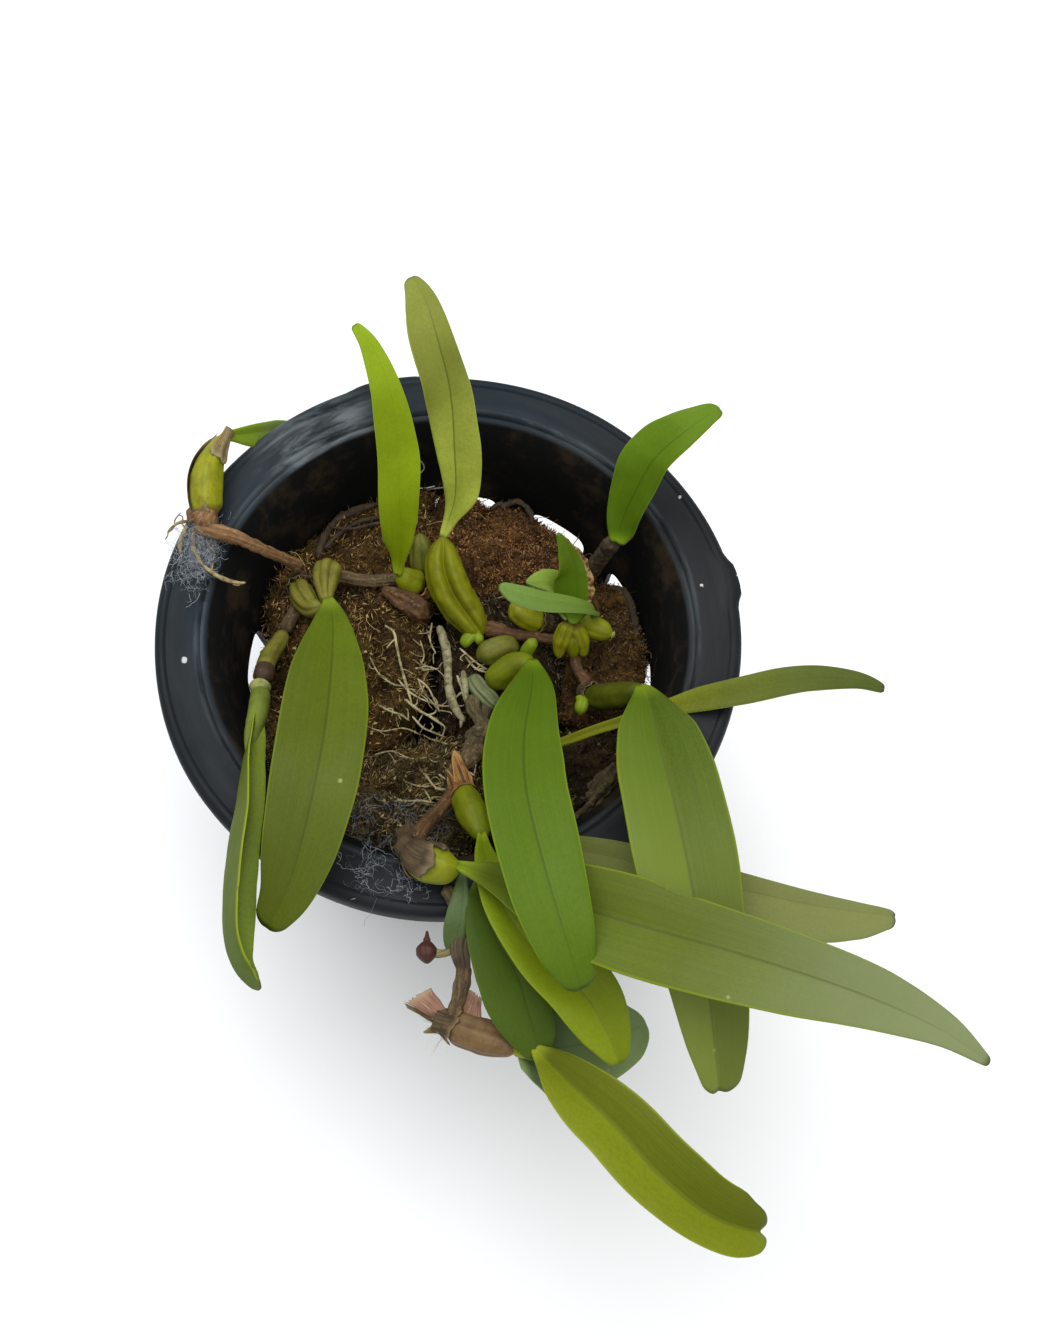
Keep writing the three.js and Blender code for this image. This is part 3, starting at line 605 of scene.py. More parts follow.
def make_floor():
    """A plain square of floor under the pot, six metres wide."""
    mesh = bpy.data.meshes.new("floor")
    reach = 3
    corners = [(-reach, -reach, 0), (reach, -reach, 0), (reach, reach, 0), (-reach, reach, 0)]
    mesh.from_pydata(corners, [], [(0, 1, 2, 3)])
    mesh.materials.append(floor_material())
    floor = bpy.data.objects.new("floor", mesh)
    bpy.context.scene.collection.objects.link(floor)


# Pot

RIM_RADIUS = 90
RIM_INNER_RADIUS = 76
LIP_DEPTH = 8
BASE_RADIUS = 55
WALL = 1.8
WALL_SLOPE = 0.135
NECK_HEIGHT = 134
FLOOR_THICKNESS = 2.2
POT_SIDES = 240
WINDOW_COUNT = 12
WINDOW_START = 31.5
WINDOW_WIDTH = 22
WINDOW_BOTTOM = 22
WINDOW_TOP = 100.5
WINDOW_CORNER = 4
WINDOW_REACH = (40, 100)
BASE_SLOT_COUNT = 8
BASE_SLOT_INNER = 24
BASE_SLOT_OUTER = 46
BASE_SLOT_WIDTH = 5
BASE_CUTTER_HEIGHT = 8
SHARP_ANGLE = math.radians(35)

# The rim's moulded lugs: azimuth in degrees, how far they stand out, and half their spread.
RIM_LUGS = ((109, 1.3, 8), (16.5, 2.0, 4.4))

# Marks on the rim: the middles of two dry smears, and the place and the radius of each pale speck.
MARK_HEIGHT = 139.5
RIM_SMEARS = ((-56, 56), (-43, 66))
RIM_SPECKS = ((-78.1, -20.1, 1.4), (76.9, 22.1, 1), (68.5, 52.6, 1), (88.1, 26.9, 1))

PLASTIC = ((0.007, 0.009, 0.01), (0.012, 0.014, 0.016))
DUST_WARM = (0.0115, 0.012, 0.013)
# Dust with a painted bluish reflection of the sky in it, for the rim's far left side.
DUST_AND_SKY_REFLECTION = (0.009, 0.0185, 0.028)
SMEAR = (0.17, 0.19, 0.2)
SCUFF = (0.12, 0.13, 0.135)
SPECK = (0.5, 0.51, 0.5)
# The inner lip's colour: wear and a painted highlight.
LIP_WEAR_AND_HIGHLIGHT = (0.1, 0.115, 0.125)
SHADED_INSIDE = (0.004, 0.004, 0.004)
SOIL = (0.03, 0.019, 0.01)


def wall_outer(z):
    return BASE_RADIUS + WALL_SLOPE * z


def wall_inner(z):
    return wall_outer(z) - WALL


def inside_pot(points, gap):
    """The points, drawn towards the pot's axis where they would enter its wall."""
    radius = np.hypot(points[..., 0], points[..., 1])
    inward = np.minimum(1, (wall_inner(points[..., 2]) - gap) / np.maximum(radius, 1))
    held = points.copy()
    held[..., :2] *= inward[..., None]
    return held


def pot_profile():
    """Radius and height pairs round the cut face of the pot, from under the floor and up."""
    top = POT_HEIGHT
    heights = (12, 40, 70, WINDOW_TOP, 118, NECK_HEIGHT - 1)
    outer = [(0.01, 0), (BASE_RADIUS - 1.5, 0), (BASE_RADIUS - 0.3, 0.4), (BASE_RADIUS, 1.5)]
    outer += [(wall_outer(z), z) for z in heights]
    outer += [(RIM_INNER_RADIUS - 0.5, top - 3.6), (RIM_RADIUS - 3, top - 2)]
    lip = [(RIM_RADIUS - WALL, top - 3.4), (RIM_RADIUS - WALL + 0.2, top - LIP_DEPTH + 0.5),
           (RIM_RADIUS - 0.8, top - LIP_DEPTH), (RIM_RADIUS, top - LIP_DEPTH + 0.6),
           (RIM_RADIUS + 0.2, top - 3), (RIM_RADIUS - 0.2, top - 1.1), (RIM_RADIUS - 1.2, top - 0.1)]
    flat = [(RIM_RADIUS - 2.6, top + 0.2), (RIM_RADIUS - 3.2, top), (RIM_RADIUS - 3.8, top - 0.5),
            (RIM_RADIUS - 6, top - 0.6), (RIM_INNER_RADIUS + 4, top - 0.6),
            (RIM_INNER_RADIUS + 1.4, top - 0.6), (RIM_INNER_RADIUS + 0.6, top - 1),
            (RIM_INNER_RADIUS, top - 1.9), (RIM_INNER_RADIUS - 0.5, top - 1.7),
            (RIM_INNER_RADIUS - 1.9, top - 2), (RIM_INNER_RADIUS - 2.5, top - 2.6)]
    inner = [(RIM_INNER_RADIUS - 2.8, top - 3.6), (wall_inner(NECK_HEIGHT), NECK_HEIGHT)]
    inner += [(wall_inner(z), z) for z in reversed(heights[1:-1])]
    inner += [(wall_inner(12), 12), (wall_inner(4) - 0.2, 4),
              (wall_inner(FLOOR_THICKNESS) - 1.6, FLOOR_THICKNESS), (0.01, FLOOR_THICKNESS)]
    return outer + lip + flat + inner


def bend_rim(points):
    """Pushes the rim's outer edge out at its two lugs, and leaves it slightly uneven."""
    azimuth = np.degrees(np.arctan2(points[:, 1], points[:, 0]))
    radius = np.maximum(np.hypot(points[:, 0], points[:, 1]), 0.01)
    edge_width = 6
    at_edge = np.clip((radius - (RIM_RADIUS - edge_width)) / edge_width, 0, 1)
    push = 0.3 * np.sin(np.radians(azimuth) * 3 + 1) + 0.15 * np.sin(np.radians(azimuth) * 7)
    for centre, height, spread in RIM_LUGS:
        push = push + height * np.exp(-((azimuth - centre) / spread) ** 6)
    points[:, :2] *= (1 + push * at_edge / radius)[:, None]


def rounded_cutter(width, height, corner, reach):
    """A block with rounded corners, standing on edge, between two distances along +X."""
    outline = []
    steps = 5
    for quarter, (sx, sy) in enumerate(((1, 1), (-1, 1), (-1, -1), (1, -1))):
        for k in range(steps + 1):
            angle = math.pi / 2 * (quarter + k / steps)
            outline.append((sx * (width / 2 - corner) + corner * math.cos(angle),
                            sy * (height / 2 - corner) + corner * math.sin(angle)))
    return np.array([[(x, y, z) for y, z in outline] for x in reach])


def turned(points, degrees):
    """The points, turned anticlockwise round the pot's axis."""
    angle = math.radians(degrees)
    turn = np.array([[math.cos(angle), math.sin(angle), 0],
                     [-math.sin(angle), math.cos(angle), 0],
                     [0, 0, 1]])
    return points @ turn


def cut(mesh, cutters):
    """The mesh with every cutter's body taken out of it."""
    solid = bpy.data.objects.new("solid", mesh)
    tools = bpy.data.objects.new("tools", make_mesh("tools", cutters))
    for part in (solid, tools):
        bpy.context.scene.collection.objects.link(part)
    modifier = solid.modifiers.new("cut", "BOOLEAN")
    modifier.operation = "DIFFERENCE"
    modifier.solver = "EXACT"
    modifier.object = tools
    bpy.context.view_layer.update()
    graph = bpy.context.evaluated_depsgraph_get()
    result = bpy.data.meshes.new_from_object(solid.evaluated_get(graph))
    for part in (solid, tools):
        bpy.data.objects.remove(part)
    return result


def rim_marks(p, colour, dust_and_sheen, sweep, radius):
    """The pot's colour with the rim's smears, scuffs and specks, and the lip at its inside made lighter,
    worn and with a painted highlight along its edge.
    """
    streaks = p.between(p.noise(p.stretched(sweep, (4.5, 4.2, 1)), 1.0, 6, 0.6, 0.5), 0.4, 0.7)
    for x, y in RIM_SMEARS:
        cloud = p.times(p.between(p.distance(x, y, MARK_HEIGHT), 0.018, 0.001, 0, 0.7), streaks)
        colour = p.mix(cloud, colour, SMEAR)
    scuffs = p.between(p.noise(p.stretched(sweep, (1.5, 5, 5)), 2.4, 6, 0.7, 0.8), 0.64, 0.78, 0, 0.25)
    colour = p.mix(p.times(scuffs, dust_and_sheen), colour, SCUFF)
    for x, y, size in RIM_SPECKS:
        ragged = p.plus(p.distance(x, y, MARK_HEIGHT), p.times(p.noise(p.object, 900, 3), 0.0012))
        spot = p.between(ragged, (size + 0.3) * MM, (size - 0.1) * MM, 0, 0.9)
        colour = p.mix(spot, colour, SPECK)
    # The inner lip is lighter: worn, and with a painted highlight along its rounded edge.
    inner = RIM_INNER_RADIUS * MM
    lip = p.times(p.between(radius, inner - 1.5 * MM, inner),
                  p.between(radius, inner + 2.5 * MM, inner + MM))
    worn = p.between(p.noise(p.stretched(sweep, (2, 3, 1)), 1.4, 5, 0.6), 0.4, 0.65, 0, 0.6)
    return p.mix(p.times(p.times(lip, worn), dust_and_sheen), colour, LIP_WEAR_AND_HIGHLIGHT)


def pot_material():
    """Black moulded plastic: dust on what faces up, with a painted bluish sky reflection on its far
    left side, marks on the rim, painted shade on the inner wall, and soil inside.
    """
    p = Paint("pot_plastic", 0.12)
    normal = p.node("ShaderNodeNewGeometry").outputs["Normal"]
    x, y, z = p.parts(p.object)
    outward_x, outward_y, facing = p.parts(normal)
    outward = p.plus(p.times(outward_x, x), p.times(outward_y, y))
    radius = p.math("SQRT", p.plus(p.times(x, x), p.times(y, y)))
    sweep = p.node("ShaderNodeCombineXYZ", {
        0: p.math("ARCTAN2", y, x), 1: p.times(radius, 60), 2: p.times(z, 60),
    }).outputs[0]
    colour = p.mix(p.between(p.noise(p.object, 30, 4), 0.35, 0.7), *PLASTIC)
    # Patches of real dust and of painted sheen on what faces up.
    dust_and_sheen_patches = p.between(p.noise(sweep, 1.1, 6, 0.6), 0.3, 0.72, 0.15, 0.85)
    dust_and_sheen = p.times(p.between(facing, 0.2, 0.95), dust_and_sheen_patches)
    # Painted reflection: on the far left, what faces up turns bluish and brighter, as if it reflects the
    # sky.
    reflecting_side = p.between(p.math("SUBTRACT", y, x), -0.05, 0.12)
    colour = p.mix(dust_and_sheen, colour, p.mix(reflecting_side, DUST_WARM, DUST_AND_SKY_REFLECTION))
    colour = rim_marks(p, colour, dust_and_sheen, sweep, radius)
    inner = RIM_INNER_RADIUS * MM
    inside = p.times(p.between(radius, inner - 1.5 * MM, inner - 2.5 * MM),
                     p.between(outward, -0.01, -0.03))
    colour = p.mix(inside, colour, SHADED_INSIDE)
    dirt = p.between(p.noise(p.object, 55, 6, 0.65), 0.48, 0.68, 0.0, 0.9)
    colour = p.mix(p.times(inside, dirt), colour, SOIL)
    roughness = p.plus(p.between(p.noise(sweep, 3, 5), 0.3, 0.7, 0.42, 0.6), p.times(inside, 0.3))
    height = p.plus(p.noise(p.stretched(sweep, (0.6, 9, 9)), 2, 3), p.noise(p.object, 900, 3))
    return p.finish(colour, roughness, height, 0.06)


def make_pot():
    """The turned pot with windows cut in its wall and slots in its base."""
    profile = pot_profile()
    angles = np.linspace(0, 2 * math.pi, POT_SIDES, endpoint=False)
    rings = [[(r * math.cos(a), r * math.sin(a), z) for a in angles] for r, z in profile]
    shape = Shape()
    add_skin(shape, np.array(rings), np.linspace(0, 1, len(profile)))
    bend_rim(shape.points[0])
    cutters = Shape()
    window = rounded_cutter(WINDOW_WIDTH, WINDOW_TOP - WINDOW_BOTTOM, WINDOW_CORNER, WINDOW_REACH)
    window = window + (0, 0, (WINDOW_TOP + WINDOW_BOTTOM) / 2)
    for k in range(WINDOW_COUNT):
        add_skin(cutters, turned(window, WINDOW_START + 360 * k / WINDOW_COUNT), np.array([0, 1]))
    slot = rounded_cutter(BASE_SLOT_WIDTH, BASE_CUTTER_HEIGHT, BASE_SLOT_WIDTH / 2 - 0.1,
                          (BASE_SLOT_INNER, BASE_SLOT_OUTER))
    for k in range(BASE_SLOT_COUNT):
        add_skin(cutters, turned(slot, 360 * k / BASE_SLOT_COUNT), np.array([0, 1]))
    mesh = cut(make_mesh("pot_surface", shape), cutters)
    mesh.set_sharp_from_angle(angle=SHARP_ANGLE)
    place_mesh("pot_surface", mesh, pot_material(), ["pot"])


# Husk

HUSK_BOTTOM = 3
HUSK_ROWS = 56
HUSK_SIDE_ROWS = 14
HUSK_SIDES = 176
HUSK_SHOULDER = 7
HUSK_WALL_GAP = 0.5
HUSK_CRUMB_DEPTH = 9
SIDE_FIBRES = 420
FIBRES_PER_CRUMB = 14
FIBRES_PER_STRAND = 45

# Outline seen from above, height of the shoulder, height of the dome over it, the direction of
# the grain in degrees, and how many fibres and what length of fibre the top has.
HUSK = {
    "husk_left": dict(
        outline=[(-63.5, -14), (-61, -4), (-61.5, 4), (-64, 14), (-60.5, 29), (-51, 43), (-38, 55),
                 (-22, 63.4), (-13.5, 65), (-13, 40), (-9, 14), (-8, -10), (-13, -30), (-30, -36),
                 (-54, -33)],
        top=108, dome=3.5, grain=70, fibres=13000, length=4.4, look="gold"),
    "husk_far": dict(
        outline=[(-12, 33), (10, 29), (32, 31), (41, 42), (36, 51), (22, 60), (13, 64.6), (8, 62.6),
                 (5, 63), (1, 66.4), (-6, 66.4), (-12, 65.4)],
        top=103.5, dome=3.5, grain=20, fibres=8500, length=1.9, look="red"),
    "husk_centre": dict(
        outline=[(-3, 12), (-1, 25), (12, 26), (34, 29), (35, 8), (37, -14), (24, -24), (6, -28),
                 (-3, -14)],
        top=106.5, dome=2.5, grain=120, fibres=3600, length=4.5, look="dark"),
    "husk_right": dict(
        outline=[(38, 39), (45, 38.2), (49.3, 37.4), (54, 37.2), (56.8, 34.4), (59.4, 30.2), (60.8, 25.6),
                 (61.6, 20.6), (63.8, 16.6), (64.5, 11), (65, 3), (62, -14), (39, -15), (37, 8)],
        top=105.5, dome=2, grain=100, fibres=4600, length=2.2, look="bark"),
    "husk_lower_right": dict(
        outline=[(26, -26), (40, -17), (60, -17), (57, -32), (42, -48), (26, -58), (18, -56), (16, -34)],
        top=104, dome=1.5, grain=40, fibres=1700, length=1.4, look="dark"),
    "husk_near": dict(
        outline=[(-56, -34), (-30, -37), (-11, -32), (4, -29), (14, -33), (16, -61), (0, -66), (-20, -64),
                 (-44, -52)],
        top=113, dome=3.5, grain=60, fibres=9400, length=4.2, look="hay"),
}

# The pith's light and dark, its moss, and the pale and brown fibres on it.
HUSK_LOOKS = {
    "gold": ((0.16, 0.085, 0.022), (0.035, 0.018, 0.006), (0.06, 0.06, 0.012),
             (0.6, 0.41, 0.15), (0.21, 0.115, 0.028)),
    "red": ((0.25, 0.115, 0.035), (0.05, 0.022, 0.008), (0.06, 0.042, 0.015),
            (0.55, 0.3, 0.12), (0.29, 0.135, 0.042)),
    "dark": ((0.07, 0.045, 0.018), (0.015, 0.01, 0.005), (0.03, 0.036, 0.01),
             (0.3, 0.22, 0.12), (0.1, 0.062, 0.025)),
    "bark": ((0.16, 0.08, 0.021), (0.034, 0.018, 0.006), (0.06, 0.04, 0.012),
             (0.27, 0.165, 0.062), (0.145, 0.078, 0.021)),
    "hay": ((0.15, 0.1, 0.035), (0.035, 0.023, 0.009), (0.07, 0.07, 0.014),
            (0.52, 0.37, 0.15), (0.19, 0.12, 0.038)),
}

# The finished chunks, for finding how high the husk is at a place.
husk_ground = []


def closed_curve(outline, count):
    """Evenly spaced places round a smooth closed curve through the outline's points."""
    loop = [(x, y, 0) for x, y in outline]
    steps, overlap = 1600, 600
    fine = smooth_path(loop[-2:] + loop + loop[:3], steps)
    from_first = np.linalg.norm(fine - loop[0], axis=1)
    start = np.argmin(from_first[:overlap])
    end = steps - overlap + np.argmin(from_first[-overlap:])
    picks = np.linspace(start, end, count, endpoint=False).astype(int)
    return fine[picks, :2]


def husk_rings(chunk):
    """Rings of a chunk from its foot up its side and over its rough domed top."""
    edge = closed_curve(chunk["outline"], HUSK_SIDES)
    middle = edge.mean(0)
    top = chunk["top"]
    rings = []
    for k in range(HUSK_ROWS):
        if k < HUSK_SIDE_ROWS:
            z = HUSK_BOTTOM + k / HUSK_SIDE_ROWS * (top - HUSK_SHOULDER - HUSK_BOTTOM)
            taper = (wall_inner(z) - HUSK_WALL_GAP) / (wall_inner(top) - HUSK_WALL_GAP)
            keep = taper * (0.94 if k == 0 else 0.99)
        else:
            t = (k - HUSK_SIDE_ROWS) / (HUSK_ROWS - HUSK_SIDE_ROWS - 1)
            keep = 0.978 * math.cos(t * math.pi / 2) ** 0.65 + 0.012
            rise = 1 - (1 - min(1, t * 3.4)) ** 2.2
            z = top - HUSK_SHOULDER * (1 - rise) + chunk["dome"] * (1 - keep ** 2)
        ring = middle + (edge - middle) * keep
        rings.append(np.column_stack([ring, np.full(HUSK_SIDES, z)]))
    return inside_pot(roughened(np.array(rings), middle, top), HUSK_WALL_GAP)


def roughened(rings, middle, top):
    """Lumps, pits and crumbs on the top, and an uneven side that stays inside its outline."""
    large = lumps_at(rings, 11.0, 3.1)
    small = lumps_at(rings, 3.6, 8.7)
    crumbs = lumps_at(rings, 1.3, 2.2)
    upper = np.clip((rings[..., 2] - (top - HUSK_CRUMB_DEPTH)) / HUSK_CRUMB_DEPTH, 0, 1)
    pits = np.clip(-lumps_at(rings, 6.5, 1.3) - 0.12, 0, 1)
    rings[..., 2] += upper * (3.2 * large + 2.0 * small + 0.8 * crumbs - 9 * pits - 0.4)
    shrink = 1 - (0.015 + 0.012 * large + 0.014 * small)
    rings[..., :2] = middle + (rings[..., :2] - middle) * shrink[..., None]
    return rings


def places_on(rings, count):
    """Random places on a ringed surface with their outward normals, evenly by area."""
    a, b = rings[:-1], np.roll(rings[:-1], -1, axis=1)
    c, d = rings[1:], np.roll(rings[1:], -1, axis=1)
    normals = np.cross(b - a, c - a).reshape(-1, 3)
    area = np.linalg.norm(normals, axis=1)
    picks = random.choice(len(area), count, p=area / area.sum())
    s, t = random.random((2, count, 1))
    a, b, c, d = (corner.reshape(-1, 3)[picks] for corner in (a, b, c, d))
    return (a * (1 - s) + b * s) * (1 - t) + (c * (1 - s) + d * s) * t, unit(normals[picks])


def husk_fibres(chunk, rings):
    """Cut fibre ends along the grain of the top, crumbs, loose strands, and strands on the side."""
    shape = Shape()
    angle = math.radians(chunk["grain"])
    grain = np.array([math.cos(angle), math.sin(angle), 0.0])
    top = rings[HUSK_SIDE_ROWS:]
    count = chunk["fibres"]
    places, normals = places_on(top, count)
    swirl = lumps_at(places, 14.0, 5.0)[:, None]
    lean = grain * random.normal(0.4, 0.8, (count, 1)) + np.cross(UP, grain) * swirl * 1.6
    lean = lean + random.normal(0, 0.4, places.shape)
    add_hairs(shape, places - normals * 0.2, lean + normals * 0.5,
              chunk["length"] * random.uniform(0.4, 1.3, count), random.uniform(0.2, 0.42, count), 0.3)
    crumb_count = count // FIBRES_PER_CRUMB
    places, normals = places_on(top, crumb_count)
    add_hairs(shape, places - normals * 0.5, random.normal(0, 1, places.shape) + normals * 0.6,
              random.uniform(1.2, 2.8, crumb_count), random.uniform(0.7, 1.4, crumb_count), 0.5)
    strand_count = count // FIBRES_PER_STRAND
    places, normals = places_on(top, strand_count)
    lean = random.normal(0, 1, places.shape) * (1, 1, 0.2)
    add_hairs(shape, places, lean + normals * 0.3, random.uniform(5, 13, strand_count),
              random.uniform(0.16, 0.3, strand_count), 0.4, joints=8)
    places, normals = places_on(rings[1:HUSK_SIDE_ROWS + 2], SIDE_FIBRES)
    lean = random.normal(0, 0.4, places.shape) + UP
    add_hairs(shape, places, lean + normals * 0.1, random.uniform(4, 10, SIDE_FIBRES),
              random.uniform(0.25, 0.45, SIDE_FIBRES), 0.12, joints=4)
    shape.points = [inside_pot(points, 0.15) for points in shape.points]
    return shape


def make_husk():
    """Each chunk as one solid body, and one piece for the fibres on it."""
    bodies = {}
    hairs = {}
    for look, (light, dark, moss, pale, brown) in HUSK_LOOKS.items():
        bodies[look] = husk_material(f"husk_{look}", light, dark, moss)
        hairs[look] = fibre_material(f"fibres_{look}", pale, brown, dark)
    for name, chunk in HUSK.items():
        rings = husk_rings(chunk)
        body = Shape()
        add_skin(body, rings, np.linspace(0, 1, HUSK_ROWS))
        husk_ground.append(BVHTree.FromPolygons(body.points[0].tolist(), body.faces))
        place(f"{name}_surface", body, bodies[chunk["look"]], name)
        place(f"{name}_fibres", husk_fibres(chunk, rings), hairs[chunk["look"]])


def ground(x, y):
    """The height of the husk under a place, or 0 where there is none."""
    above = Vector((x, y, POT_HEIGHT + 20))
    hits = [tree.ray_cast(above, Vector((0, 0, -1)))[0] for tree in husk_ground]
    return max([hit.z for hit in hits if hit is not None], default=0.0)


def settled(route, radius):
    """The route of a root, raised where the husk would swallow it."""
    return [(x, y, max(z, ground(x, y) + radius * 0.6)) for x, y, z in route]


# Leaves

BLADE_STATIONS = (0, 0.08, 0.2, 0.35, 0.5, 0.65, 0.8, 0.92, 1)
BLADE_COLUMNS = np.array([0, 0.03, 0.07, 0.13, 0.21, 0.32, 0.44, 0.57, 0.69, 0.8, 0.88, 0.94, 0.98, 1])
BLADE_ROWS = 70
PETIOLE_SHARE = 0.09
PETIOLE_THICKNESS = 3.4
BLADE_THICKNESS = 1.4
BLADE_WAVE = 0.4

